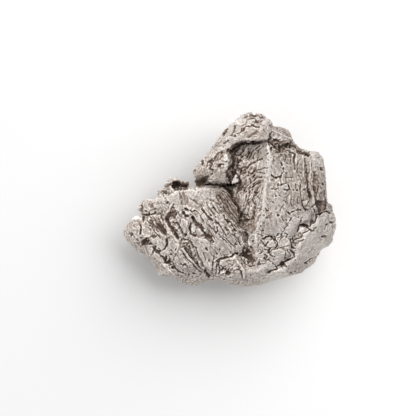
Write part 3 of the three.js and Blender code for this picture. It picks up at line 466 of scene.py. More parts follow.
    (0.22, 0.4, 0.5, [(2.5, 16.5), (2.7, 17.4)]),
    (0.38, 0.5, 0.6, [(2.9, 16.6), (3.3, 16.8), (3.4, 17.4)]),
    (0.2, 0.4, 0.5, [(1.8, 16.1), (2.6, 16.3)]),
    (0.38, 0.55, 0.6, [(0.8, 19.1), (1.4, 19.4), (1.8, 19.8)]),
    (0.32, 0.5, 0.6, [(4.1, 19.6), (5, 19.9), (6.1, 19.9)]),
    (0.3, 0.5, 0.7, [(3.9, 17.95), (4.7, 17.8)], [(6.3, 17.6), (7.1, 17.6)]),
    (0.34, 0.5, 0.7, [(5.1, 17.9), (5.5, 18.1), (6, 17.8)]),
    (0.16, 0.35, 0.45, [(5.1, 19.2), (5.8, 19.1), (6.5, 18.9)], [(6, 18.5), (6.8, 18.5)]),
    (0.26, 0.4, 0.55, [(6.3, 19.6), (6.7, 19.2), (7.1, 18.7)]),
    (0.18, 0.35, 0.45, [(7.1, 19.2), (7.8, 19), (8.5, 19.1)], [(3.5, 20.2), (4.3, 20.6)]),
    (0.3, 0.45, 0.55, [(7.3, 20.7), (8.4, 20.1)]),
    (0.2, 0.35, 0.4, [(9.2, 19.5), (10.4, 18.7)]),
    (0.5, 0.12, 0.1, [(4.6, 15.1), (5.6, 15.8), (6.5, 16.4)]),
    (0.2, 0.3, 0.3, [(11, 17.8), (11.7, 17.3)]),
    (0.16, 0.25, 0.3, [(12.4, 16.7), (13.4, 16.3), (14.4, 15.6)]),
    # right plateau
    (0.25, 0.4, 0.65, [(12.6, 8.8), (13, 8.2)]),
    (0.25, 0.4, 0.6, [(13.1, 7.4), (13.3, 6.8), (12.8, 6.1), (12.4, 5.3)],
     [(14.5, 3), (14.8, 2.2), (14, 2.1), (13.3, 2.2)]),
    (0.2, 0.4, 0.6, [(10.1, 5.8), (10.6, 5.4), (11.4, 5.1), (12.1, 5.4)]),
    (0.18, 0.35, 0.6, [(10.3, 2.4), (11.2, 2.3), (11.9, 2.6), (12.1, 2)]),
    (0.14, 0.25, 0.3, [(12.7, 3.3), (13.4, 3.7), (14.3, 3.6), (14.6, 3)],
     [(14.7, 1.2), (14.2, 0.5), (13.4, 0.2)], [(9.8, -3.8), (10.5, -3.6)]),
    (0.16, 0.3, 0.4, [(8.6, -2.4), (9, -3), (9.5, -2.9)]),
    (0.2, 0.35, 0.5, [(8.6, -4.7), (9, -4.6), (9.3, -5)]),
    (0.25, 0.45, 0.6, [(12.7, -4.4), (12.9, -5), (13.3, -5.5)]),
    (0.16, 0.3, 0.35, [(13.3, -5.5), (13.9, -6), (14, -6.8), (13.5, -7.5)]),
    (0.14, 0.3, 0.45, [(14.1, -6.4), (14.7, -5.6), (15.2, -4.8)]),
    (0.14, 0.25, 0.35, [(17.9, -4.5), (17.2, -6), (16.8, -7.6), (15.9, -9.2), (15.1, -10.6)]),
    (0.12, 0.2, 0.25, [(14.2, -6.6), (13.2, -8.2), (12.3, -9.6)]),
    (0.16, 0.25, 0.3, [(15.4, -2), (15, -0.8), (15.2, 0.2)], [(16.6, -0.2), (16.9, -1.8)],
     [(13.4, 11), (13.9, 10.2), (13.6, 9.2), (14.2, 8.6)], [(14.6, 10.8), (15, 10), (14.8, 9)]),
    (0.2, 0.3, 0.45, [(16.3, -2.9), (17.5, -2.8)]),
    (0.18, 0.3, 0.3, [(14, -3.2), (14.6, -3.9), (15.5, -3.2)]),
    # upright grooves on the right
    (0.3, 0.45, 0.55, [(16, 10.9), (15.8, 10), (15.7, 9), (15.9, 8), (16, 7.3)]),
    (0.22, 0.35, 0.4, [(16.8, 9.2), (16.6, 8), (16.6, 6.8)]),
    (0.4, 0.35, 0.28, [(18.6, 9.6), (18.9, 7.6), (19, 6), (19.2, 3), (19.4, 1.6), (20, 0.3)]),
    (0.18, 0.3, 0.4, [(18.9, 9), (19, 7), (18.9, 5.2)]),
    (0.28, 0.4, 0.45, [(19.1, 5), (19.2, 3.8), (19.3, 3)]),
    (0.18, 0.35, 0.45, [(19.4, 2.4), (19.8, 1), (20, 0.4)]),
    (0.45, 0.3, 0.25, [(20.9, 6.4), (20.8, 4.4), (20.9, 2.4), (21.2, 0.9)]),
    (0.2, 0.3, 0.4, [(21.9, 3.2), (21.6, 1.8), (21.4, 0.6)], [(22.9, 3.8), (23.1, 3.4)]),
    (0.16, 0.25, 0.3, [(17, 5.6), (17.5, 4.6), (17.7, 4)]),
    (0.16, 0.25, 0.35, [(16.2, 4.2), (16.1, 3), (16.5, 2)]),
    (0.2, 0.3, 0.45, [(18.1, 2.3), (18.8, 2.4)]),
    (0.14, 0.25, 0.3, [(17.4, 3.4), (17.3, 2), (17.6, 0.6)],
     [(20.2, 8.8), (20.1, 6.8), (20.2, 5)], [(18.7, -2), (19.2, -1), (19.8, -0.3)]),
    (0.2, 0.35, 0.45, [(23.5, 2.2), (23.4, 0.6), (23.9, -0.2)],
     [(17.9, -0.5), (17.8, -1.6), (18.4, -2.5), (19.2, -2.7)]),
    (0.22, 0.4, 0.55, [(23.8, -0.4), (23.8, -1.4), (23.9, -2.6), (23.3, -2.9), (22.3, -3.1)]),
    (0.25, 0.4, 0.6, [(21.1, 0.5), (21.3, -0.7), (21.1, -1.4), (20.3, -2)]),
    (0.22, 0.35, 0.5, [(20.6, -2.4), (21, -3.3)]),
    # the jagged crack above the smooth bar
    (0.25, 0.55, 0.6, [(24.9, -3.6), (24.2, -3.2), (23.2, -3.3), (22.4, -3.7), (21.7, -3.9)]),
    (0.35, 0.65, 0.65, [(21.5, -4), (21.3, -4.8), (21.1, -5.4), (20.7, -5.9)]),
    (0.28, 0.6, 0.6, [(20.7, -5.9), (20, -6.3), (19.8, -6.9)]),
    (0.25, 0.5, 0.55, [(19.6, -6.6), (18.6, -6.6), (17.6, -6.5), (17, -7), (16.8, -8)]),
    (0.28, 0.5, 0.65, [(18.4, -7), (19.2, -7.1), (19.6, -7.6), (20.4, -8.1)]),
    (0.2, 0.45, 0.6, [(18, -8.6), (18.6, -8.2), (19.3, -8)],
     [(17.6, -8.8), (18.1, -9.3), (17.4, -9.6), (16.9, -9.1)],
     [(16, -10.4), (16.5, -9.9), (17.2, -9.8)]),
    (0.18, 0.4, 0.55, [(16.8, -8), (16.5, -8.8), (16, -9.4)]),
    (0.18, 0.45, 0.6, [(16.9, -10.5), (17.7, -10.6), (18.2, -10.1)]),
    (0.22, 0.45, 0.6, [(15.6, -10.2), (15.9, -11), (16.7, -11.1)]),
    (0.28, 0.5, 0.6, [(15, -10.2), (15.4, -11.2), (15.5, -12.2), (16.2, -12.4)]),
    (0.22, 0.45, 0.5, [(14.5, -13), (15, -14), (15, -14.6)]),
    (0.25, 0.5, 0.6, [(15.2, -12.8), (15.8, -13.6), (15.9, -14.5)]),
    (0.28, 0.55, 0.6, [(15.5, -14.7), (14.3, -15.1), (13.5, -15.7), (12.9, -15.6), (12.4, -16.3)]),
    (0.3, 0.55, 0.6, [(12.3, -16.4), (11.6, -16.9), (11.9, -17.4), (10.9, -17.8), (10, -18),
     (9.6, -18.5)]),
    (0.18, 0.4, 0.5, [(10.6, -16), (11.1, -16.4), (11.4, -16.9)]),
    # lower right
    (0.3, 0.5, 0.65, [(8.3, -10), (9, -9.6), (9.9, -9.4), (10.4, -9.8), (11, -10.2)]),
    (0.25, 0.5, 0.65, [(10.9, -9.4), (11.3, -10.1), (11.7, -10.9), (11.6, -11.8), (11.2, -12.4)]),
    (0.2, 0.45, 0.55, [(7.5, -10.4), (8, -11), (8.6, -11.9), (9, -11.4), (9.4, -10.8)]),
    (0.25, 0.45, 0.55, [(8.5, -12.6), (9.2, -12.8), (9.8, -12.6), (9.4, -13.3), (10, -13.9)]),
    (0.2, 0.4, 0.55, [(10, -14), (10.6, -14.2), (11.1, -14.4)]),
    (0.22, 0.4, 0.5, [(6.8, -8.8), (7.4, -9.2), (7.9, -8.7), (8, -9.4)],
     [(23.6, -7.6), (23.9, -6.6), (24.6, -6.1), (25.6, -5.8)]),
    (0.2, 0.35, 0.5, [(11.5, -9.1), (12.1, -8.6)], [(13.7, -13.8), (13.7, -14.8)]),
    (0.18, 0.3, 0.35, [(12.6, -8.8), (12.8, -9.6), (12.4, -10.2)],
     [(25.4, -6.8), (24.9, -7.7), (24.3, -8.2)]),
    (0.18, 0.3, 0.4, [(13.6, -8.4), (14.3, -8.8), (13.9, -9.6)],
     [(8.3, -14.8), (8.8, -15.4), (9.6, -15.2), (10.1, -15.7)],
     [(8.6, -13.9), (9.2, -14.4), (8.9, -15)]),
    (0.16, 0.3, 0.4, [(7.3, -12.7), (7.9, -13.2), (7.4, -13.6)]),
    (0.16, 0.3, 0.35, [(11.6, -12.6), (12.4, -12.2), (13.4, -12.4)]),
    (0.25, 0.4, 0.55, [(14.7, -18.6), (15.4, -18.3), (16.4, -18.1)]),
    (0.3, 0.45, 0.55, [(18.9, -16.1), (19.5, -15.6), (20.2, -15)]),
    (0.2, 0.35, 0.4, [(20.2, -15), (21, -14.6), (22.2, -13.9)]),
    (0.16, 0.3, 0.3, [(19.8, -15.9), (20.8, -15.2), (21.6, -14.7)]),
    (0.25, 0.4, 0.5, [(25.2, -5.9), (25.7, -5.9), (25.6, -6.5)],
     [(22.9, -9.5), (23.4, -9.7), (23.9, -9.4)]),
    (0.14, 0.2, 0.3, [(8, -19.9), (9.2, -19.9)]),
    (0.14, 0.2, 0.25, [(11, -19.5), (12.2, -19.2)]),
    (0.12, 0.15, 0.2, [(18.2, -14.7), (19.4, -13.6), (20.6, -12.6)],
     [(14.6, -17.5), (16, -16.9), (17.4, -16)], [(19.6, -11.4), (21, -9.8), (22, -8.2)],
     [(20.6, -13.2), (22.2, -11.4)]),
]

# Raised edges, bright where they are worn and where a highlight is painted on them: half width,
# height, oxide, then each line's points.
RIDGES = [
    (0.3, 0.3, -0.15, [(-14.4, -1.5), (-15.4, -3.1), (-16.4, -4.6)]),
    (0.4, 0.3, -0.15, [(-16.6, -4.6), (-15.9, -6.2), (-15, -7.9), (-13.8, -9.4), (-12.9, -10.6)]),
    (0.35, 0.35, -0.25, [(-11.9, -12.6), (-10.2, -14.8), (-8.8, -16.4), (-7.4, -17.8)]),
    (0.2, 0.25, -0.2, [(-11.9, -10.8), (-10.8, -10.6), (-9.9, -11.1)],
     [(-2.4, -17.8), (-2.1, -18.6), (-1.4, -18.4)]),
    (0.16, 0.3, -0.2, [(-10.7, -12.9), (-9.6, -14.3), (-8.5, -15.6)]),
    (0.16, 0.2, -0.1, [(-19.4, -5), (-18.5, -6.4), (-17.6, -7.6)], [(-18.7, -4.7), (-17.9, -6)]),
    (0.3, 0.15, -0.15, [(-22.4, -4), (-20.2, -4.4), (-18.7, -4.2)]),
    (0.6, 0.12, -0.1, [(8.5, 13.7), (9.4, 12.3), (9.8, 10.5), (9.8, 8.5), (9.3, 6.3), (8.6, 4.5)]),
    (0.6, 0.14, -0.12, [(8.6, 4.5), (8.5, 2), (8.3, 0), (8.3, -2), (7.8, -4.5), (7, -6.5),
     (5.9, -8.6)]),
    (0.35, 0.4, -0.25, [(1.3, -14.5), (2.3, -16.2), (3, -17), (3.5, -18), (3.6, -19.6)]),
    (0.25, 0.3, -0.2, [(0.4, -5.4), (1.6, -6.6), (2.4, -7.6), (3.8, -8)],
     [(14, 12.3), (15, 12.1), (15.8, 11.6)]),
    (0.15, 0.3, -0.4, [(0.5, -0.9), (1, -1.6), (1.7, -2.4)]),
    (0.14, 0.25, -0.25, [(-1.8, 2.4), (-0.9, 1.6), (0, 0.7)]),
    (0.2, 0.25, -0.25, [(1.2, 2.2), (1.2, 1.2), (1.5, 0.4)]),
    (0.2, 0.25, -0.15, [(2.6, -9.4), (3.2, -10.8), (4, -12.1)],
     [(10.4, 16.9), (12.6, 15.7), (15.2, 14.7)]),
    (0.25, 0.35, -0.2, [(4.9, -11.6), (4.8, -10), (5.4, -9), (6.2, -8.9), (6.5, -10.2),
     (6.6, -12)]),
    (0.16, 0.25, -0.15, [(3.9, -0.2), (3.8, -1.4), (3.2, -2.5)], [(5.2, 11.9), (5.8, 12.8)]),
    (0.18, 0.25, -0.2, [(4.4, 1.5), (4.4, 2.8), (5.5, 3.9), (6.8, 4.7), (8.2, 5)]),
    (0.25, 0.25, -0.2, [(4, -4.6), (4.6, -4.9)]),
    (0.2, 0.2, -0.12, [(-4.4, 4.4), (-5.6, 4.4), (-6.9, 3.5)]),
    (0.3, 0.3, -0.25, [(-14.6, 4.9), (-13, 4.8), (-11.9, 4.5), (-10.4, 4.8)]),
    (0.14, 0.2, -0.1, [(-2, -8.6), (0, -10.4), (1.4, -11.8)],
     [(-0.4, -8.1), (1.2, -9.6), (2, -10.7)], [(-3, -1.6), (-1, -4), (0.4, -5.5)]),
    (0.25, 0.2, -0.15, [(18, 10.6), (18, 8), (18.1, 5.6)]),
    (0.2, 0.15, -0.1, [(20, 9.4), (20, 6.4), (20.2, 3.4)]),
]

# Pits: radius, depth, oxide, then the centre of each.
PITS = [
    (0.35, 0.35, 0.5, (-11.6, -3.7), (-11.2, -16.6), (-14.7, -14), (9.7, -18.4), (19, -16.1),
     (3.1, 16.8), (6, 21)),
    (0.25, 0.3, 0.5, (-3.3, -13.8), (-13.4, -12.7), (-0.7, -5.2), (2, -17.8), (8.1, -8),
     (18.7, -2.9), (6.7, 18.8)),
    (0.4, 0.4, 0.5, (-14.8, -16.4), (-24.5, -9), (-19.3, -13.5), (-15.6, -1), (1.2, 19.3),
     (-4.6, 9.5)),
    (0.3, 0.35, 0.5, (-10.8, -2.7), (-9.4, -3.2), (-8.5, -12.2), (10.5, -14.3), (5.4, 18),
     (-7, 8.4)),
    (0.35, 0.4, 0.5, (-13.4, -8), (7.1, -15.8), (0.7, 16), (-4.8, 8.2), (-2.8, 8.1), (2, 9)),
    (0.3, 0.3, 0.5, (-22, -1.8), (-14.6, -12.8), (-16.2, -16), (20.9, -2.8), (7.1, 9.6)),
    (0.3, 0.4, 0.6, (10.5, 13.2), (11, 12.7), (11.4, 13.5), (13, 13), (14.2, 13.2)),
    (0.4, 0.35, 0.5, (-18.9, -9.5), (-14.3, -17.2), (15.3, -18.4), (4.4, -9)),
    (0.25, 0.3, 0.4, (10.2, 12.4), (8.9, -2.9), (15.5, -3.2), (-2.3, 11.3)),
    (0.5, 0.5, 0.55, (-17.8, -13.3), (-15.9, -14.9), (-15.2, -15.8)),
    (0.3, 0.3, 0.4, (-5.2, -15.4), (18.4, 11.5), (14.6, -3.6)),
    (0.35, 0.4, 0.55, (-13.5, -3.8), (-8.9, -18.8), (2.7, 7)),
    (0.3, 0.35, 0.6, (-20, -3.6), (-0.3, -7.8), (1.3, 15.4)),
    (0.25, 0.25, 0.4, (22, 10.1), (16.6, 2.1), (22.9, 3.6)),
    (0.3, 0.25, 0.35, (5.5, -1.8), (6.6, 1.2), (6.9, -3.2)),
    (0.35, 0.4, 0.6, (-10.5, -4.2), (-2.5, -12.6)), (0.35, 0.35, 0.45, (23.4, -9.5), (16.7, 11.9)),
    (0.5, 0.5, 0.5, (-18.9, -12.6), (-1.4, 16.2)), (0.5, 0.4, 0.5, (-0.5, -18.6), (-16.2, 1.9)),
    (0.3, 0.4, 0.55, (12.1, 12.9), (14.8, 12.7)), (0.25, 0.3, 0.55, (12.2, 0.6), (11.9, -4.2)),
    (0.3, 0.3, 0.45, (-10.2, -19), (3.1, 10.3)), (0.3, 0.3, 0.55, (12.9, -2.1), (9.1, 11.1)),
    (0.6, 0.15, 0.25, (-19.6, -1.7)), (0.3, 0.35, 0.55, (-5.7, -12.6)),
    (0.25, 0.3, 0.45, (-9.4, -19.5)), (0.25, 0.15, 0.25, (10.6, -0.9)),
    (0.35, 0.2, 0.3, (-20.9, -3.1)), (0.5, 0.4, 0.45, (12.9, -16.3)),
    (0.35, 0.4, 0.65, (12.5, 12.4)), (0.25, 0.35, 0.5, (12.4, 11.6)),
    (0.32, 0.35, 0.65, (11.9, 3.5)), (0.4, 0.25, 0.35, (16.8, -2.7)),
    (0.35, 0.25, 0.35, (-8.6, 6.9)), (1, 0.6, 0.45, (-21.2, -10.9)),
    (0.45, 0.5, 0.6, (-7.2, -7.3)), (1.3, 0.45, 0.2, (5.1, -14.9)), (0.3, 0.4, 0.65, (13.3, 12.4)),
    (0.25, 0.2, 0.35, (9.4, -0.1)), (0.25, 0.3, 0.35, (2.3, 19.6)), (0.4, 0.5, 0.5, (-17, -14.3)),
    (0.4, 0.4, 0.6, (-21, -10.6)), (0.4, 0.45, 0.6, (-11, -9.1)), (1.1, 0.4, 0.4, (3.7, -13.5)),
    (0.4, 0.3, 0.3, (5.3, -14.2)), (0.4, 0.4, 0.4, (5.6, -10.6)), (0.4, 0.4, 0.45, (22.7, 7.3)),
    (0.6, 0.5, 0.4, (19.2, 11.2)), (0.22, 0.3, 0.5, (11.3, 0.6)), (0.28, 0.3, 0.5, (18.4, 2.2)),
    (0.4, 0.35, 0.4, (2.7, -3.8)), (0.5, 0.4, 0.4, (3.9, -5.4)),
]

# Smooth rounded knobs: radius, height, oxide, of which they have none, then the centre.
KNOBS = [
    (0.9, 0.3, 0, (-23.3, -5)), (0.5, 0.4, 0, (-14.4, -5.5)), (0.45, 0.35, 0, (-14.6, -6.4)),
    (0.9, 0.2, 0, (-1.2, -16.1)), (0.7, 0.15, 0, (18.9, -1.2)), (0.6, 0.2, 0, (-19, -10.8)),
    (0.4, 0.25, 0, (5.4, 6.8)), (0.8, 0.4, 0, (2.4, 18.8)), (0.8, 0.35, 0, (8.8, 18.8)),
    (0.7, 0.35, 0, (0.2, 18.4)), (0.6, 0.3, 0, (4.7, 18.9)), (0.6, 0.25, 0, (-0.2, 15.2)),
    (0.5, 0.25, 0, (3.4, 9.2)),
]

# Where the oxide lies thick, and painted shade under the hollow's crest, on its left wall, on the
# back block's face and in the gaps beside it: centre, radii, turn in degrees, strength.
STAINS_AND_SHADE = [
    (0.6, 1, 3.4, 1.3, -62, 0.7), (2.8, -4.8, 4.2, 1.3, -62, 0.4),
    (4.4, -14.4, 2.6, 1.8, -70, 0.25), (2.6, 12.8, 3, 1.2, 8, 0.4), (0.8, 11, 1.1, 2, 0, 0.4),
    (-0.2, 6.4, 1.1, 1.9, 10, 0.2), (0.8, 9.2, 0.8, 1.4, 0, 0.3), (1.2, 2.8, 2, 1.2, 0, 0.8),
    (2.6, 7, 1.2, 0.8, 0, 0.5), (3, 10.6, 2.4, 1.4, 20, 0.35), (6.2, 11, 2, 1.6, 0, 0.2),
    (-9.4, -14, 3.4, 0.8, -57, 0.5), (-21.2, -10.9, 1.3, 1.1, 0, 0.6),
    (-17.2, -7.4, 2, 1, -55, 0.4), (-0.5, -18.6, 0.9, 0.8, 0, 0.7), (20.9, 3.6, 0.9, 3.6, 3, 0.35),
    (22.6, -1.8, 1.5, 1.5, 0, 0.4), (18.3, 11.4, 2.2, 0.8, -33, 0.4),
    (12.6, 12.9, 2.4, 1, -5, 0.3), (5.4, 15.7, 1.3, 0.5, 38, 0.5), (0.6, 12.8, 1.5, 0.5, 58, 0.9),
    (1.1, 13, 1.5, 0.6, 32, 1.3), (-1.6, 16.6, 1.2, 0.7, 65, 0.6), (5.6, 20.9, 1.6, 0.7, 0, 0.5),
    (-12.2, 3.4, 2.2, 1.4, 0, 1), (-7, 4.3, 1.9, 0.9, 38, 1), (-16.3, 1.9, 1.1, 0.7, 20, 0.8),
    (-3, 3.4, 3.4, 0.4, 0, 0.6), (-3.4, -12.9, 2.2, 1.6, -20, 0.2), (6, -20.4, 9, 1.2, 5, 0.18),
    (-1.6, -12.4, 1.6, 1, 0, 0.2), (-1, 2.8, 1.8, 0.6, -20, 0.5), (-15, -4.6, 1.4, 0.8, 60, 0.3),
]

# Grain in plan: direction in degrees, spacing, length, then the heights of the torn layers, the
# cracks and the fibres, and where it holds (x, y, radius).
PLATES = [
    (-54, 1, 2.8, 1, 0.2, 0.16, [(-20, -7, 5), (-15, -10, 5), (-12, -15, 5), (-22, -10, 4),
     (-23, 0, 3)]),
    (-57, 0.85, 6, 0.55, 0.12, 0.26, [(-6, -5, 5), (-1, -7, 4), (-4, -12, 5), (1, -1, 3),
     (-8, -1, 3)]),
    (62, 0.9, 5, 0.95, 0.16, 0.34, [(3, 8, 4), (4, 1, 4), (6, 4, 3), (5, -4, 3)]),
    (-84, 1.3, 3, 0.32, 0.06, 0.07, [(12, 3, 4), (12, -5, 4), (13, 9, 3)]),
    (-60, 0.9, 1.6, 1.2, 0.25, 0.05, [(9, -12, 4), (13, -12, 3), (0, -17, 3), (-15, 4.5, 3.5),
     (-10, 3, 2.5)]),
    (-93, 1.1, 8, 0.42, 0.14, 0.22, [(19, 5, 4), (21, 0, 3), (16.5, 5, 2), (24.5, 7, 3),
     (19, 13.5, 3)]),
    (52, 0.9, 3.2, 0.9, 0.16, 0.15, [(-5, 10, 4), (-2, 14, 4)]),
    (-6, 0.9, 3, 1.1, 0.2, 0.15, [(4, 19, 4), (9, 19, 4), (1, 17, 3)]),
    (20, 1.1, 2.2, 0.9, 0.12, 0.1, [(12, 14, 3), (5, 15.5, 2)]),
    (48, 1.2, 8, 0.6, 0.1, 0.3, [(20, -12, 5), (12, -19, 5), (25, -7, 3), (-9, -22, 4),
     (0, -22.5, 4)]),
]

# How rough each part of the top is, from 0 for smooth to 1: x, y, roughness.
ROUGH = [
    (-14, 4.6, 0.7), (-12.8, 3.4, 0.2), (-11.2, 3.4, 0.2), (-16.5, 2.6, 0.7), (-11, 4.8, 0.6),
    (-24, -6.5, 0.15), (-22, -2.2, 0.3), (-19, -1.5, 0.4), (-13, 0.3, 0.2), (-7, 1, 0.15),
    (-18, -7, 0.45), (-14, -5, 0.7), (-22, -10.5, 0.6), (-24.5, -10.5, 0.15), (-21, -14, 0.15),
    (-17, -18, 0.1), (-12, -12, 0.55), (-14, -16, 0.6), (-9, -14.5, 0.4), (-10, -20.5, 0.12),
    (-8, -8, 0.7), (-5, -3, 0.55), (-1, -2, 0.7), (-3, -8, 0.7), (-3, -13, 0.45), (0, -16, 0.6),
    (-1, -20.5, 0.2), (3, -4, 0.9), (4.5, -13.4, 0.5), (5.7, -10.4, 0.2), (5, -19.5, 0.2),
    (-7, 6.8, 0.1), (-5, 9, 0.75), (-2, 5.5, 0.3), (0.4, 6.6, 1), (0.9, 9, 0.9), (-1, 10, 0.35),
    (-2, 13, 0.6), (0, 12.8, 0.9), (0, 17.5, 0.4), (5, 19.5, 0.5), (8, 16, 0.15), (5, 16, 0.15),
    (3, 15.3, 0.25), (12.5, 16.8, 0.25), (12, 13, 1), (4, 12.5, 0.75), (5, 9, 0.65), (5, 5, 0.55),
    (5, 0, 0.6), (6, -4, 0.8), (8.5, 0, 0.35), (9.6, 9, 0.35), (11.5, 7, 0.25), (12, 2, 0.32),
    (12, -3, 0.3), (11, -7, 0.25), (16, 3, 0.35), (16, 9, 0.45), (20, 9.5, 0.25), (20, 4, 0.4),
    (23, 5, 0.25), (20, -2, 0.45), (22.5, -1.5, 0.9), (24, -5, 0.4), (18, -5, 0.45), (17, -9, 0.7),
    (20.5, -10.5, 0.15), (17, -15.5, 0.15), (11, -19, 0.2), (9, -12, 0.45), (13, -13, 0.35),
    (13, -9, 0.3), (7.5, -17, 0.4), (23, -11.5, 0.3),
]

# How much oxide tints each part of the top, beyond what its relief gives, with painted light where
# a value is below nothing, as for the glints at the top of the hollow and the lower right slope
# that faces away from the key lamp: x, y, oxide.
TINT_AND_PAINTED_LIGHT = [
    (-14.5, 4.6, 0.08), (-24, -6, 0.17), (-24, -9, 0.1), (-17, -15, 0.12), (19, 0, 0.16),
    (5, 5, 0.2), (14, 13.5, 0.24), (3, 16.2, 0.14), (-18, -1, 0), (-7, 1, 0.02), (-16, -7, 0.14),
    (-10, -6, 0.02), (-14, -14, 0.1), (-12, -18, 0.12), (-18, -11, 0.03), (-4, -6, 0.07),
    (-1, -3, 0.08), (-3, -14, 0.06), (0, -16, 0.14), (4.5, -15, 0.02), (4, -10, -0.04),
    (-5.5, -15, 0.1), (-2.2, 0.2, 0.14), (-0.6, -1.4, 0.14), (4, -6, 0.1), (3, 8, 0.14),
    (6, 10.5, 0.02), (6, 12.6, -0.2), (6, 0, 0.12), (12, 4, 0.06), (16, 3, 0.15), (19, -6, -0.04),
    (17.5, -12, -0.1), (-17, -10.5, 0.08), (12, -6, 0.02), (-7, 6.8, 0.14), (-3, 6, 0.12),
    (-5, 7, 0.08), (-2, 11, 0.06), (6.5, 15.6, 0.2), (10, 15.6, 0.16), (4, 19, 0), (0, 18, -0.03),
    (13, 17, 0.1), (20, 5, 0.22), (22, 9, -0.04), (20, -10, -0.12), (12, -19, -0.1),
    (24, -6, -0.08), (2, -20.5, 0), (17, -17, 0.06), (10, -12, 0), (17, -9, -0.05),
]

# ---------------------------------------------------------------- mesh

def fine_mesh(node):
    """The node's shape as small quads: the mesh, its points in millimetres, faces and edges."""
    source = bpy.data.objects[node]
    copy = bpy.data.objects.new("remesh", source.data.copy())
    bpy.context.scene.collection.objects.link(copy)
    cells = copy.modifiers.new("cells", "REMESH")
    cells.mode = "VOXEL"
    cells.voxel_size = VOXEL * MM
    graph = bpy.context.evaluated_depsgraph_get()
    mesh = bpy.data.meshes.new_from_object(copy.evaluated_get(graph))
    bpy.data.objects.remove(copy)
    points = np.empty(len(mesh.vertices) * 3)
    mesh.vertices.foreach_get("co", points)
    corners = np.empty(len(mesh.loops), dtype=np.int64)
    mesh.loops.foreach_get("vertex_index", corners)
    edges = np.empty(len(mesh.edges) * 2, dtype=np.int64)
    mesh.edges.foreach_get("vertices", edges)
    return mesh, points.reshape(-1, 3) / MM, corners.reshape(-1, 4), edges.reshape(-1, 2)


def neighbour_mean(values, edges, count):
    """The mean of each vertex's neighbours, column by column."""
    a, b = edges[:, 0], edges[:, 1]
    columns = values.reshape(len(values), -1)
    total = np.empty_like(columns)
    for n in range(columns.shape[1]):
        total[:, n] = (np.bincount(a, columns[b, n], len(values))
                       + np.bincount(b, columns[a, n], len(values)))
    return (total / count[:, None]).reshape(values.shape)


def smoothed(values, edges, count, passes):
    """The values after some passes of moving each one towards its neighbours' mean."""
    for _ in range(passes):
        values = values + SMOOTHING * (neighbour_mean(values, edges, count) - values)
    return values


def normals_of(points, quads):
    """The unit normal at each point, from the faces around it."""
    across = points[quads[:, 2]] - points[quads[:, 0]]
    other = points[quads[:, 3]] - points[quads[:, 1]]
    face = np.cross(across, other)
    total = np.zeros_like(points)
    for corner in range(4):
        for axis in range(3):
            total[:, axis] += np.bincount(quads[:, corner], face[:, axis], len(points))
    return total / np.maximum(np.linalg.norm(total, axis=1, keepdims=True), 1e-12)


# ---------------------------------------------------------------- placed features

LINE_REACH = 1.7                    # how far off a line can act, in half widths
LINE_RAGGED = 0.6                   # how much the wobble changes a line's width
LINE_DEPTH = (0.85, 0.45)           # a line's depth, plain and from the wobble
LINE_STAIN = (0.0, 0.5)             # where in a line its oxide begins and is full

SPOT_REACH = 2.4                    # how far off a spot can act, in radii
SPOT_LONG, SPOT_SHORT = 1.3, 1.2    # how far a spot is drawn out one way and in the other
SPOT_RADIUS = (1.1, 0.8)            # a spot's radius, plain and from the wobble
SPOT_STAIN = (0.0, 0.6)             # where in a spot its oxide begins and is full
SPOT_TURN = (40, 70)                # turns each spot by its place, so that no two look alike

FACET_REACH = 0.5                   # how far outside its corners a facet can act
FACET_RAGGED = 0.3                  # how much the wobble shifts a facet's edge
FACET_EDGE = (-0.05, 0.15)          # where a facet's edge begins and ends, measured inwards
FACET_LIFT, FACET_CALM, FACET_HIGHLIGHT = 0.6, 0.8, 0.4     # how far height, calm and painted highlight count

STAIN_AND_SHADE_EDGE = (1.25, 0.55)           # where a stain or a patch of painted shade begins and is full, in radii
STAIN_AND_SHADE_RAGGED = 0.25                 # how much the wobble shifts its edge
BLEND_CORE = 0.4                    # keeps one place from taking over where values are blended
PULL_TALL, PULL_MORE = 2, 3         # a pull's reach up and down: this many radii and this more


def line_field(plan, table, wobble, wide):
    """At each point of the plan: the lines' depth there, how deep in a line it is, and oxide, some
    of which is painted shade, and on ridges painted highlight.
    """
    field, inside, oxide = (np.zeros(len(plan)) for _ in range(3))
    x, y = plan[:, 0], plan[:, 1]
    steady, ragged = LINE_DEPTH
    for half, size, stain, *lines in table:
        reach = half * wide * LINE_REACH
        for (ax, ay), (bx, by) in [step for line in lines for step in zip(line, line[1:])]:
            near = np.nonzero((x > min(ax, bx) - reach) & (x < max(ax, bx) + reach)
                              & (y > min(ay, by) - reach) & (y < max(ay, by) + reach))[0]
            px, py = x[near] - ax, y[near] - ay
            dx, dy = bx - ax, by - ay
            t = np.clip((px * dx + py * dy) / (dx * dx + dy * dy), 0, 1)
            width = half * wide * (1 + LINE_RAGGED * wobble[near])
            d = np.hypot(px - t * dx, py - t * dy) / width
            part = np.clip(1 - d, 0, 1) * (steady + ragged * wobble[near])
            inside[near] = np.maximum(inside[near], part)
            field[near] = np.maximum(field[near], size * part)
            tinted = stain * smoothstep(*LINE_STAIN, part)
            larger = np.abs(tinted) > np.abs(oxide[near])
            oxide[near] = np.where(larger, tinted, oxide[near])
    return field, inside, oxide


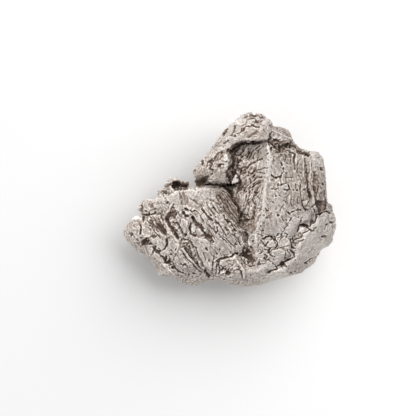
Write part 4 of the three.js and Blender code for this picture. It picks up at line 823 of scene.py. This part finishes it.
def spot_field(plan, table, wobble):
    """The same for round spots, each drawn out a little in a direction of its own."""
    field, inside, oxide = (np.zeros(len(plan)) for _ in range(3))
    steady, ragged = SPOT_RADIUS
    for radius, size, stain, *centres in table:
        for cx, cy in centres:
            near = np.nonzero((np.abs(plan[:, 0] - cx) < SPOT_REACH * radius)
                              & (np.abs(plan[:, 1] - cy) < SPOT_REACH * radius))[0]
            turn = SPOT_TURN[0] * cx + SPOT_TURN[1] * cy
            dx, dy = plan[near, 0] - cx, plan[near, 1] - cy
            along = (dx * math.cos(turn) + dy * math.sin(turn)) / SPOT_LONG
            across = (dy * math.cos(turn) - dx * math.sin(turn)) * SPOT_SHORT
            d = np.hypot(along, across) / (radius * (steady + ragged * wobble[near]))
            part = np.clip(1 - d * d, 0, 1)
            inside[near] = np.maximum(inside[near], part)
            field[near] = np.maximum(field[near], size * part)
            oxide[near] = np.maximum(oxide[near], stain * smoothstep(*SPOT_STAIN, part))
    return field, inside, oxide


def facet_field(plan, wobble):
    """The facets' height, the share of the common relief that they keep, and their oxide, which
    holds painted shade and painted highlight too.
    """
    lift, kept, oxide = np.zeros(len(plan)), np.ones(len(plan)), np.zeros(len(plan))
    for height, lean_x, lean_y, roughness, stain, corners in FACETS:
        ring = np.array(corners)
        low, high = ring.min(axis=0) - FACET_REACH, ring.max(axis=0) + FACET_REACH
        near = np.nonzero(((plan > low) & (plan < high)).all(axis=1))[0]
        x, y = plan[near, 0], plan[near, 1]
        nearest = np.full(len(near), np.inf)
        inside = np.zeros(len(near), dtype=bool)
        for (ax, ay), (bx, by) in zip(ring, np.roll(ring, -1, axis=0)):
            dx, dy = bx - ax, by - ay
            t = np.clip(((x - ax) * dx + (y - ay) * dy) / (dx * dx + dy * dy), 0, 1)
            nearest = np.minimum(nearest, np.hypot(x - ax - t * dx, y - ay - t * dy))
            if dy != 0:
                inside ^= ((ay > y) != (by > y)) & (x < ax + (y - ay) / dy * dx)
        depth = np.where(inside, nearest, -nearest) + FACET_RAGGED * wobble[near]
        part = smoothstep(*FACET_EDGE, depth)
        middle = ring.mean(axis=0)
        lean = lean_x * (x - middle[0]), lean_y * (y - middle[1])
        lift[near] += part * (FACET_LIFT * height + lean[0] + lean[1])
        kept[near] *= 1 - part * (1 - roughness) * FACET_CALM
        # oxide above nothing darkens, in places as painted shade; below nothing it lightens the
        # facet as a painted highlight
        oxide[near] += part * (stain if stain > 0 else FACET_HIGHLIGHT * stain)
    return lift, kept, oxide


def stain_and_shade_field(plan, wobble):
    """How thick the placed oxide and painted shade lie."""
    field = np.zeros(len(plan))
    for cx, cy, rx, ry, turn, strength in STAINS_AND_SHADE:
        c, s = math.cos(math.radians(turn)), math.sin(math.radians(turn))
        dx, dy = plan[:, 0] - cx, plan[:, 1] - cy
        d = np.hypot((dx * c + dy * s) / rx, (dy * c - dx * s) / ry)
        part = smoothstep(*STAIN_AND_SHADE_EDGE, d + STAIN_AND_SHADE_RAGGED * wobble)
        field = np.maximum(field, strength * part)
    return field


def blended(plan, table):
    """Values given at scattered places, blended by distance."""
    total, weights = np.zeros(len(plan)), np.zeros(len(plan))
    for x, y, value in table:
        w = 1 / (BLEND_CORE + (plan[:, 0] - x) ** 2 + (plan[:, 1] - y) ** 2) ** 2
        total += w * value
        weights += w
    return total / weights


def pulled(points):
    """The points moved by the small pulls, which reach further up and down than sideways."""
    moved = points.copy()
    for x, y, z, radius, dx, dy, dz in PULLS:
        offset = (points - (x, y, z)) / (radius, radius, PULL_TALL * radius + PULL_MORE)
        share = np.exp(-(offset ** 2).sum(axis=1))
        moved += share[:, None] * np.array([dx, dy, dz])
    return moved


# ---------------------------------------------------------------- grain

ALONG_RISE, ACROSS_RISE = 0.5, 0.15         # how the grain's axes run up through the iron
UPWARD = np.array([0.2, -0.3, 1])           # the grain's third axis

TORN = [(2.6, 1.0, 0.22), (1.1, 0.5, 0.22), (0.5, 0.22, 0.25)]  # size, share, width of the lip
TORN_WIDE, TORN_HIGH = 1.5, 2.5             # a layer's size across and up, in spacings
TORN_STEPS = 2.2                            # how many lips a swing of the noise makes
TORN_PATCH = (1.4, -0.2, 0.3)               # period, and the noise where it begins and is full
FOOT_PATCH = (1.1, -0.3, 0.4)
FOOT_WIDE, FOOT_SHARE = 1.1, 0.8

FIBRES = [(1.0, 0.6), (0.5, 0.4)]           # size, share
FIBRE_LONG, FIBRE_WIDE, FIBRE_HIGH = 1.2, 0.8, 2
FIBRE_SHARP = 4

CREASES = [(1.0, 1.0, 7.0), (0.5, 0.8, 4.5)]    # size, share, narrowness
CREASE_WIDE, CREASE_HIGH = 1.1, 1.4
CREASE_PATCH = (1.3, 0.0, 0.4)

SHARD_LONG, SHARD_MORE, SHARD_WIDE, SHARD_HIGH = 0.9, 1.0, 1.3, 2.0
SHARD_SHIFT = 7             # moves each shard's grain, so that it breaks off at the shard's edge
PLATE_EDGE = 3              # how fast a plate's weight falls off towards its radius
PLATE_LEAST = 0.003         # the weight below which a plate is left out


def turned(points, turn):
    """The points in axes along the grain, across it, and up."""
    c, s = math.cos(math.radians(turn)), math.sin(math.radians(turn))
    return np.stack([points @ np.array([c, s, ALONG_RISE]),
                     points @ np.array([-s, c, ACROSS_RISE]), points @ UPWARD], axis=1)


def patches(points, shape, seed):
    """Patches where something comes, from 0 between them to 1."""
    period, begins, full = shape
    return smoothstep(begins, full, noise(points, period, seed))


def torn(axes, spacing, length, seed):
    """Torn layers along the grain: depth from 0 to 1, steep behind each lip, and its foot."""
    depth, foot = np.zeros(len(axes)), np.zeros(len(axes))
    for n, (scale, share, lip) in enumerate(TORN):
        size = np.array([length, spacing * TORN_WIDE, spacing * TORN_HIGH]) * scale
        level = noise(axes / size, 1, seed + 7 * n) * TORN_STEPS
        rise = level - np.floor(level)
        here = patches(axes / size, TORN_PATCH, seed + 7 * n + 3)
        depth += share * here * (smoothstep(0, lip, rise) - rise)
        bottom = np.clip(1 - np.abs(rise - lip) / (FOOT_WIDE * lip), 0, 1)
        patchy = patches(axes, FOOT_PATCH, seed + 7 * n + 5)
        foot = np.maximum(foot, here * bottom * patchy * FOOT_SHARE)
    return depth, foot


def fibres(axes, spacing, length, seed):
    """Long fibres: sharp ridges and valleys along the grain, from -1 to 1."""
    total = np.zeros(len(axes))
    length, spacing = length * FIBRE_LONG, spacing * FIBRE_WIDE
    for n, (scale, share) in enumerate(FIBRES):
        wide = spacing * scale
        stretched = axes / np.array([length * scale, wide, wide * FIBRE_HIGH])
        for sign, own_seed in ((1, seed + 5 * n), (-1, seed + 5 * n + 2)):
            crest = np.clip(1 - np.abs(noise(stretched, 1, own_seed)) * FIBRE_SHARP, 0, 1)
            total += sign * share * crest
    return total


def creases(axes, spacing, length, seed):
    """Thin broken cracks along the grain, from 0 between them to 1 at their bottoms."""
    total = np.zeros(len(axes))
    spacing = spacing * CREASE_WIDE
    for n, (scale, share, narrow) in enumerate(CREASES):
        wide = spacing * scale
        stretched = axes / np.array([length * scale, wide, wide * CREASE_HIGH])
        valley = np.clip(1 - np.abs(noise(stretched, 1, seed + 9 * n)) * narrow, 0, 1)
        fade = patches(stretched, CREASE_PATCH, seed + 9 * n + 4)
        total = np.maximum(total, share * valley * fade)
    return total


def grain_fields(base, warped):
    """Layers, their feet, cracks, fibres and shards of the plates, and the axes of the grain."""
    layers, feet, cracks, threads, shards = (np.zeros(len(base)) for _ in range(5))
    grain = np.zeros_like(base)
    total = np.full(len(base), 1e-3)        # more than 0, because the sums are divided by it
    for n, (turn, spacing, length, layer, crack, fibre, places) in enumerate(PLATES):
        weight = np.zeros(len(base))
        for x, y, radius in places:
            d = ((base[:, 0] - x) ** 2 + (base[:, 1] - y) ** 2) / radius ** 2
            weight = np.maximum(weight, np.exp(-d * PLATE_EDGE))
        total += weight
        grain += weight[:, None] * turned(base, turn)
        here = np.nonzero(weight > PLATE_LEAST)[0]
        weight = weight[here]
        axes = turned(warped[here], turn)
        seed = SEED + 40 * n
        shard = (SHARD_LONG * length + SHARD_MORE, SHARD_WIDE * spacing, SHARD_HIGH * spacing)
        _, value = rubble(axes / shard, 1, seed + 15)
        shards[here] += weight * (value - 0.5)
        axes = axes + SHARD_SHIFT * value[:, None]
        depth, foot = torn(axes, spacing, length, seed)
        layers[here] += weight * layer * depth
        feet[here] += weight * layer * foot
        cracks[here] += weight * crack * creases(axes, spacing, length, seed + 21)
        threads[here] += weight * fibre * fibres(axes, spacing, length, seed + 33)
    fields = [field / total for field in (layers, feet, cracks, threads, shards)]
    return fields, grain / total[:, None]


# ---------------------------------------------------------------- carving

UP, SEEN = (-0.05, 0.3), (-0.15, 0.05)      # upward parts of the normal: placed, and in view
DRIFT = [(1.1, 0.11, 0), (0.5, 0.06, 4)]    # period, amount and seed of what bends the plan
WOBBLE = [(0.9, 20), (0.45, 22)]            # periods and seeds of what makes edges ragged
WOBBLE_SHARE = 0.6
ROUGH_TOP = 0.85
ROUGH_SIDE = (0.6, 0.3, 9)                  # roughness of the sides: mean, spread, period
ROUGH_LEAST = 0.05

BLOCK, CHIP = (3.6, 0.9), (1.7, 0.5)        # sizes and heights of the coarse and fine lumps
BLOCK_ANYWHERE, CHIP_ANYWHERE = 0.15, 0.1   # the shares of them that smooth places keep,
MILD_ANYWHERE, DOT_ANYWHERE = 0.3, 0.2      # and those of the fibres and swell and of the dots
THREAD_HEIGHT, SHARD_HEIGHT, SWELL_HEIGHT, GRIT_HEIGHT, DOT_HEIGHT = 0.5, 0.4, 0.1, 0.07, 0.3
SWELL = [(1.3, 1, 71), (0.6, 0.6, 72)]      # periods, shares and seeds
GRIT_PERIOD, GRIT_STRETCH = 0.35, (1.6, 1, 1)
DOTS = (0.62, 0.36, 0.56)                   # period, and the noise where it begins and is full
DOT_PATCH = (2.1, -0.3, 0.3)                # the patches in which the dots come

GROOVE_WIDE, RIDGE_WIDE, RIDGE_RAGGED = 1.15, 1.1, 0.5
WHOLE_LEAST, WHOLE_MORE = 0.55, 0.45        # how whole the placed grooves are, and where
WHOLE_PATCH = (1.7, -0.5, 0.2)
DRAWN_DEPTH = 1.2                           # scales the placed grooves and pits
QUIET, QUIET_LEAST = 0.8, 0.2               # how far ridges and knobs calm the other relief

NEAR_PASSES, WIDE_PASSES = 12, 90           # smoothing that gives the level round about
FINE_OXIDE, WIDE_OXIDE = 2.0, 0.4           # oxide per millimetre below that level,
FINE_SPAN, WIDE_SPAN = (-0.06, 0.3), (0, 1)     # and the millimetres that count
STAIN_AND_SHADE_OXIDE, FOOT_OXIDE, CRACK_OXIDE, DOT_OXIDE = 0.42, 0.35, 1.6, 0.35
WOBBLE_OXIDE = (0.05, 0.1)                  # what the wobble adds, plain and by roughness
ROUGH_OXIDE, OXIDE_LEAST = 0.08, 0.02
FINE_WEAR, PLACED_WEAR_AND_HIGHLIGHT, TINT_HIGHLIGHT = 7, 2, 3     # wear on raised points, and painted highlight where the placed oxide would be below nothing


def share_of(rough, least):
    """A share that rises from the least one on smooth ground to 1 on the roughest."""
    return least + (1 - least) * rough


def body_of(points, quads, smooth):
    """The coarse body without its facets, with its lips sharp again, and its normals."""
    base = pulled(smooth(points, FACET_PASSES))
    base += LIP_SHARE * (base - smooth(base, LIP_PASSES))
    normal = smooth(normals_of(base, quads), NORMAL_PASSES)
    normal /= np.linalg.norm(normal, axis=1, keepdims=True)
    return base, normal


def common_relief(warped, rough, fields, grain):
    """The relief that covers the whole body: its depth, and the dots in it."""
    layers, _, cracks, threads, shards = fields
    block, _ = rubble(warped, BLOCK[0], SEED + 50)
    chip, _ = rubble(warped, CHIP[0], SEED + 60)
    swell = sum(share * noise(warped, period, SEED + n) for period, share, n in SWELL)
    grit = noise(grain / GRIT_STRETCH, GRIT_PERIOD, SEED + 73)
    dots = patches(warped, DOTS, SEED + 80) * share_of(rough, DOT_ANYWHERE)
    dots *= patches(warped, DOT_PATCH, SEED + 82)

    mild = share_of(rough, MILD_ANYWHERE)
    depth = (-share_of(rough, BLOCK_ANYWHERE) * BLOCK[1] * block
             - share_of(rough, CHIP_ANYWHERE) * CHIP[1] * chip)
    depth += (rough * (layers + cracks) - THREAD_HEIGHT * mild * threads
              + SWELL_HEIGHT * mild * swell)
    depth += SHARD_HEIGHT * rough * shards
    depth += GRIT_HEIGHT * grit
    depth += DOT_HEIGHT * dots
    return depth, dots


def sunk_fields(carved, normal, smooth):
    """How far each point lies below the level close by, and how far that lies below the rest."""
    around = smooth(carved, NEAR_PASSES)
    wide = smooth(around, WIDE_PASSES)
    return ((around - carved) * normal).sum(axis=1), ((wide - around) * normal).sum(axis=1)


def carve(points, quads, edges):
    """Carves the plates, cracks, pits and grain: the new points, their looks and the grain."""
    count = np.bincount(edges.ravel(), minlength=len(points)).astype(float)

    def smooth(values, passes):
        return smoothed(values, edges, count, passes)

    base, normal = body_of(points, quads, smooth)
    up, seen = smoothstep(*UP, normal[:, 2]), smoothstep(*SEEN, normal[:, 2])
    warped = base + sum(noise_vector(base, period, SEED + n) * amount
                        for period, amount, n in DRIFT)
    plan = warped[:, :2]
    wobble = sum(WOBBLE_SHARE * noise(base, period, SEED + n) for period, n in WOBBLE)

    lift, kept, facet_oxide_and_light = facet_field(plan, wobble)
    mean, spread, period = ROUGH_SIDE
    rough_side = mean + spread * noise(base, period, SEED + 21)
    rough = ROUGH_TOP * blended(plan, ROUGH) * seen + rough_side * (1 - seen)
    rough = np.clip(rough * (1 - up + up * kept), ROUGH_LEAST, 1)
    fields, grain = grain_fields(base, warped)
    depth, dots = common_relief(warped, rough, fields, grain)

    # what is placed on the top
    grooves, _, groove_oxide_and_shade = line_field(plan, GROOVES, wobble, GROOVE_WIDE)
    ridges, in_ridge, ridge_wear_and_highlight = line_field(plan, RIDGES, wobble * RIDGE_RAGGED, RIDGE_WIDE)
    pits, _, pit_oxide = spot_field(plan, PITS, wobble)
    knobs, in_knob, _ = spot_field(plan, KNOBS, wobble)
    whole = WHOLE_LEAST + WHOLE_MORE * patches(base, WHOLE_PATCH, SEED + 90)
    drawn = DRAWN_DEPTH * np.maximum(grooves * whole, pits) * up
    quiet = np.clip(1 - QUIET * np.maximum(in_ridge, in_knob) * up, QUIET_LEAST, 1)
    depth = depth * quiet + drawn - (lift + ridges + knobs) * up

    carved = base - normal * depth[:, None]
    for passes, share in CRISP:
        rise = ((carved - smooth(carved, passes)) * normal).sum(axis=1)
        carved += normal * (share * rise)[:, None]

    # oxide stays where the surface lies below its surroundings, and what stands up is worn; the
    # placed values add painted shade and painted highlights
    fine, wide = sunk_fields(carved, normal, smooth)
    _, feet, cracks, _, _ = fields
    # the placed oxide also holds painted shade in the hollow, on the back block and in the gaps
    # beside it
    placed = (np.maximum(groove_oxide_and_shade * whole, pit_oxide) + facet_oxide_and_light
              + stain_and_shade_field(plan, wobble) * STAIN_AND_SHADE_OXIDE)
    # the tone of each part, with painted light where it is below nothing
    tint_and_light = blended(plan, TINT_AND_PAINTED_LIGHT)
    smooth_wobble, rough_wobble = WOBBLE_OXIDE
    oxide = (np.clip(fine, *FINE_SPAN) * FINE_OXIDE + np.clip(wide, *WIDE_SPAN) * WIDE_OXIDE
             + (placed + tint_and_light) * seen + ridge_wear_and_highlight * up
             + rough * (FOOT_OXIDE * feet + CRACK_OXIDE * cracks) + DOT_OXIDE * dots
             + (smooth_wobble + rough_wobble * rough) * wobble
             + ROUGH_OXIDE * rough + OXIDE_LEAST)
    wear_and_highlight = (np.clip(-fine * FINE_WEAR, 0, 1)
            + np.clip(-(facet_oxide_and_light + ridge_wear_and_highlight) * PLACED_WEAR_AND_HIGHLIGHT, 0, 1) * up
            + np.clip(-tint_and_light * TINT_HIGHLIGHT, 0, 1) * up)
    looks = {"oxide": np.clip(oxide, 0, 1), "wear_and_highlight": np.clip(wear_and_highlight, 0, 1), "rough": rough}
    return carved, looks, grain


# ---------------------------------------------------------------- material

WHITE = (1, 1, 1)
# the bright metal of worn places and painted highlights, and how far it shows
WEAR_AND_HIGHLIGHT_METAL, WEAR_AND_HIGHLIGHT_SHARE = (0.96, 0.905, 0.855), 0.85
# Ramps: the value that is read, then the colour or the shade that it gives.
METAL = [(0.35, (0.58, 0.517, 0.468)), (0.65, (0.69, 0.62, 0.572))]
FLECKS = [(0.32, 0.64), (0.68, 1.0)]
OXIDE = [(0.06, WHITE), (0.32, (0.63, 0.567, 0.527)), (0.65, (0.29, 0.228, 0.192)),
         (1.0, (0.13, 0.096, 0.078))]
METALLIC = [(0.15, 0.3), (0.5, 0.05)]
ROUGHNESS = [(0.1, 0.55), (0.5, 0.8)]
HAIR = [(0.0, 1.0), (0.035, 0.0)]
FIBRE_SIZE, SPECK_SIZE = (1.9, 0.42, 0.42), (0.42, 0.2, 0.2)    # along, across and up the grain
BLOTCH_SIZE, FLECK_SIZE = (5, 3, 4), (0.9, 0.45, 0.45)
HAIR_PLAIN, HAIR_ROUGH = 0.07, 0.14     # how dark the hair-thin cracks are, plain and on rough
SPECK_OXIDE, FIBRE_OXIDE = 0.5, 0.3     # how ragged the two noises make the oxide
MIDDLE = 0.5                            # of a noise that goes from 0 to 1
SPECK_HEIGHT = 0.6                      # beside the fibres' 1
BUMP_STRENGTH, BUMP_HEIGHT = 0.8, 0.1
FLOOR_WHITE, FLOOR_ROUGHNESS, FLOOR_SHINE = (0.86, 0.86, 0.86), 0.9, 0.1


class Shading:
    """A new material, with a method for each kind of node that is put into it."""

    def __init__(self, name):
        self.material = bpy.data.materials.new(name)
        self.material.use_nodes = True
        self.nodes = self.material.node_tree.nodes
        self.shader = self.nodes["Principled BSDF"].inputs

    def feed(self, socket, value):
        """Links a node's output to the socket, or sets the socket's own value."""
        if isinstance(value, bpy.types.NodeSocket):
            self.material.node_tree.links.new(value, socket)
        elif isinstance(value, tuple) and len(value) < len(socket.default_value):
            socket.default_value = (*value, 1)
        else:
            socket.default_value = value

    def attribute(self, name, output="Fac"):
        """A value that the mesh carries at its points."""
        node = self.nodes.new("ShaderNodeAttribute")
        node.attribute_name = name
        return node.outputs[output]

    def maths(self, kind, a, b=0.0):
        """One step of arithmetic."""
        node = self.nodes.new("ShaderNodeMath")
        node.operation = kind
        self.feed(node.inputs[0], a)
        self.feed(node.inputs[1], b)
        return node.outputs[0]

    def texture(self, vector, lengths, detail):
        """Noise that changes over the given lengths along the vector's three axes."""
        scaled = self.nodes.new("ShaderNodeVectorMath")
        scaled.operation = "MULTIPLY"
        self.feed(scaled.inputs[0], vector)
        self.feed(scaled.inputs[1], tuple(1 / length for length in lengths))
        node = self.nodes.new("ShaderNodeTexNoise")
        self.feed(node.inputs["Scale"], 1)
        self.feed(node.inputs["Detail"], detail)
        self.feed(node.inputs["Vector"], scaled.outputs[0])
        return node.outputs["Fac"]

    def ramp(self, source, stops):
        """Colours, or shades of grey, at the given values of the source."""
        node = self.nodes.new("ShaderNodeValToRGB")
        while len(node.color_ramp.elements) < len(stops):
            node.color_ramp.elements.new(0.5)
        for element, (at, colour) in zip(node.color_ramp.elements, stops):
            element.position = at
            element.color = (*colour, 1) if isinstance(colour, tuple) else (colour,) * 3 + (1,)
        self.feed(node.inputs["Fac"], source)
        return node.outputs["Color"]

    def mixed(self, kind, amount, a, b):
        """Two colours blended."""
        node = self.nodes.new("ShaderNodeMix")
        node.data_type = "RGBA"
        node.blend_type = kind
        self.feed(node.inputs[0], amount)
        self.feed(node.inputs[6], a)
        self.feed(node.inputs[7], b)
        return node.outputs[2]


def iron_material():
    """Brushed iron that darkens to brown oxide and painted shade, and is bright where it is worn
    and where a highlight is painted.
    """
    iron = Shading("etched_iron")
    maths = iron.maths
    oxide, wear_and_highlight, rough = (iron.attribute(name) for name in ("oxide", "wear_and_highlight", "rough"))
    grain = iron.attribute("grain", "Vector")
    fibre = iron.texture(grain, FIBRE_SIZE, 2)
    speck = iron.texture(grain, SPECK_SIZE, 2)
    blotch = iron.texture(grain, BLOTCH_SIZE, 2)
    fleck = iron.texture(grain, FLECK_SIZE, 1)

    # hair-thin cracks run where the fibres' noise crosses its middle
    crossing = maths("ABSOLUTE", maths("SUBTRACT", fibre, MIDDLE))
    darkness = maths("ADD", maths("MULTIPLY", rough, HAIR_ROUGH), HAIR_PLAIN)
    hair = maths("MULTIPLY", iron.ramp(crossing, HAIR), darkness)
    ragged = oxide
    for pattern, share in ((speck, SPECK_OXIDE), (fibre, FIBRE_OXIDE)):
        around_middle = maths("SUBTRACT", pattern, MIDDLE)
        ragged = maths("ADD", ragged, maths("MULTIPLY", around_middle, share))
    ragged = maths("ADD", ragged, hair)

    metal = iron.mixed("MULTIPLY", 1.0, iron.ramp(blotch, METAL), iron.ramp(fleck, FLECKS))
    # the bright metal mixes in where the surface is worn and where a highlight is painted; the
    # oxide value darkens with oxide and painted shade
    bright = iron.mixed("MIX", maths("MULTIPLY", wear_and_highlight, WEAR_AND_HIGHLIGHT_SHARE), metal, WEAR_AND_HIGHLIGHT_METAL)
    colour = iron.mixed("MULTIPLY", 1.0, bright, iron.ramp(ragged, OXIDE))
    iron.feed(iron.shader["Base Color"], colour)
    iron.feed(iron.shader["Metallic"], iron.ramp(ragged, METALLIC))
    iron.feed(iron.shader["Roughness"], iron.ramp(ragged, ROUGHNESS))

    bump = iron.nodes.new("ShaderNodeBump")
    relief = maths("ADD", maths("MULTIPLY", speck, SPECK_HEIGHT), fibre)
    iron.feed(bump.inputs["Strength"], BUMP_STRENGTH)
    iron.feed(bump.inputs["Distance"], BUMP_HEIGHT * MM)
    iron.feed(bump.inputs["Height"], maths("SUBTRACT", relief, hair))
    iron.feed(iron.shader["Normal"], bump.outputs["Normal"])
    return iron.material


def floor_material():
    """The matt white of the floor."""
    white = Shading("white_floor")
    white.feed(white.shader["Base Color"], FLOOR_WHITE)
    white.feed(white.shader["Roughness"], FLOOR_ROUGHNESS)
    white.feed(white.shader["Specular IOR Level"], FLOOR_SHINE)
    return white.material


# ---------------------------------------------------------------- the piece and the floor

COARSE = (0.25, -0.25)      # upward parts of the normal where thinning begins and is strongest
COARSE_LEVELS = 4
FLOOR_HALF = 2.0            # metres


def new_object(name, data):
    """A new object, put into the scene."""
    item = bpy.data.objects.new(name, data)
    bpy.context.scene.collection.objects.link(item)
    return item


def thinned(mesh):
    """The mesh with fewer triangles below and on the sides, where it carries less detail."""
    piece = new_object("thinning", mesh)
    group = piece.vertex_groups.new(name="coarse")
    normals = np.empty(len(mesh.vertices) * 3)
    mesh.vertices.foreach_get("normal", normals)
    below = smoothstep(*COARSE, normals.reshape(-1, 3)[:, 2])
    for level in range(1, COARSE_LEVELS + 1):
        chosen = np.nonzero(np.round(below * COARSE_LEVELS) == level)[0]
        group.add(chosen.tolist(), level / COARSE_LEVELS, "REPLACE")
    fewer = piece.modifiers.new("fewer", "DECIMATE")
    fewer.ratio = MOST_TRIANGLES / (2 * len(mesh.polygons))
    fewer.vertex_group = "coarse"
    fewer.use_collapse_triangulate = True
    graph = bpy.context.evaluated_depsgraph_get()
    result = bpy.data.meshes.new_from_object(piece.evaluated_get(graph))
    bpy.data.objects.remove(piece)
    return result


def build_meteorite():
    """The carved and thinned surface, with its looks at its points, in place of the solid."""
    mesh, points, quads, edges = fine_mesh(NODE)
    carved, looks, grain = carve(points, quads, edges)
    carved[:, 2] = np.maximum(carved[:, 2], 0)      # nothing reaches below the floor
    mesh.vertices.foreach_set("co", (carved * MM).ravel())
    for name, values in looks.items():
        mesh.attributes.new(name, "FLOAT", "POINT").data.foreach_set("value", values)
    mesh.attributes.new("grain", "FLOAT_VECTOR", "POINT").data.foreach_set("vector", grain.ravel())
    mesh.update()
    mesh = thinned(mesh)
    mesh.polygons.foreach_set("use_smooth", [True] * len(mesh.polygons))
    mesh.materials.clear()
    mesh.materials.append(iron_material())
    mesh.update()
    mesh.name = SURFACE
    piece = new_object(SURFACE, mesh)
    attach(piece, "root")
    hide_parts(NODE)
    return piece


def build_floor():
    """The white floor, which belongs to the picture and not to the object."""
    half = FLOOR_HALF
    mesh = bpy.data.meshes.new("floor")
    mesh.from_pydata([(-half, -half, 0), (half, -half, 0), (half, half, 0), (-half, half, 0)],
                     [], [(0, 1, 2, 3)])
    mesh.materials.append(floor_material())
    floor = new_object("floor", mesh)
    return floor


# ---------------------------------------------------------------- camera and light

CENTRE = (-5.43, -2.33)     # where the camera's axis meets the object, seen from above
MID_HEIGHT = 11.0           # the height at which the frame's width holds
FRAME_WIDTH = 104.0
LENS = 300.0
SENSOR = 36.0
CLIP = (0.01, 20)           # metres
DOME = 0.58                 # brightness of the white all round
# Each lamp's place and size in metres, then how bright it makes a white surface.
KEY = ((-0.31, 0.33, 0.62), 0.45, 0.70)
FLOOR_LAMP = ((0.43, 0.46, 0.48), 1.1, 1.50)


def build_camera():
    """A long lens that looks straight down."""
    data = bpy.data.cameras.new("camera")
    data.lens = LENS
    data.sensor_width = SENSOR
    data.clip_start, data.clip_end = CLIP
    camera = new_object("camera", data)
    distance = FRAME_WIDTH * LENS / SENSOR
    camera.location = (CENTRE[0] * MM, CENTRE[1] * MM, (MID_HEIGHT + distance) * MM)
    bpy.context.scene.camera = camera


def build_dome():
    """White light from all round, and colours that are shown as they are."""
    scene = bpy.context.scene
    scene.view_settings.view_transform = "Standard"
    world = bpy.data.worlds.new("studio")
    world.use_nodes = True
    back = world.node_tree.nodes["Background"]
    back.inputs["Color"].default_value = (*WHITE, 1)
    back.inputs["Strength"].default_value = DOME
    scene.world = world


def build_lamp(name, lamp, only):
    """A round lamp that is aimed at the origin and lights only one object."""
    place, size, brightness = lamp
    distance = np.linalg.norm(place)
    data = bpy.data.lights.new(name, "AREA")
    data.shape = "DISK"
    data.size = size
    data.energy = brightness * math.pi ** 2 * distance ** 2
    light = new_object(name, data)
    light.location = place
    light.rotation_euler = (math.acos(place[2] / distance), 0, math.atan2(place[0], -place[1]))
    lit = bpy.data.collections.new(name + "_lit")
    lit.objects.link(only)
    light.light_linking.receiver_collection = lit


build_camera()
floor = build_floor()
piece = build_meteorite()
build_dome()
build_lamp("key", KEY, piece)
build_lamp("floor_lamp", FLOOR_LAMP, floor)
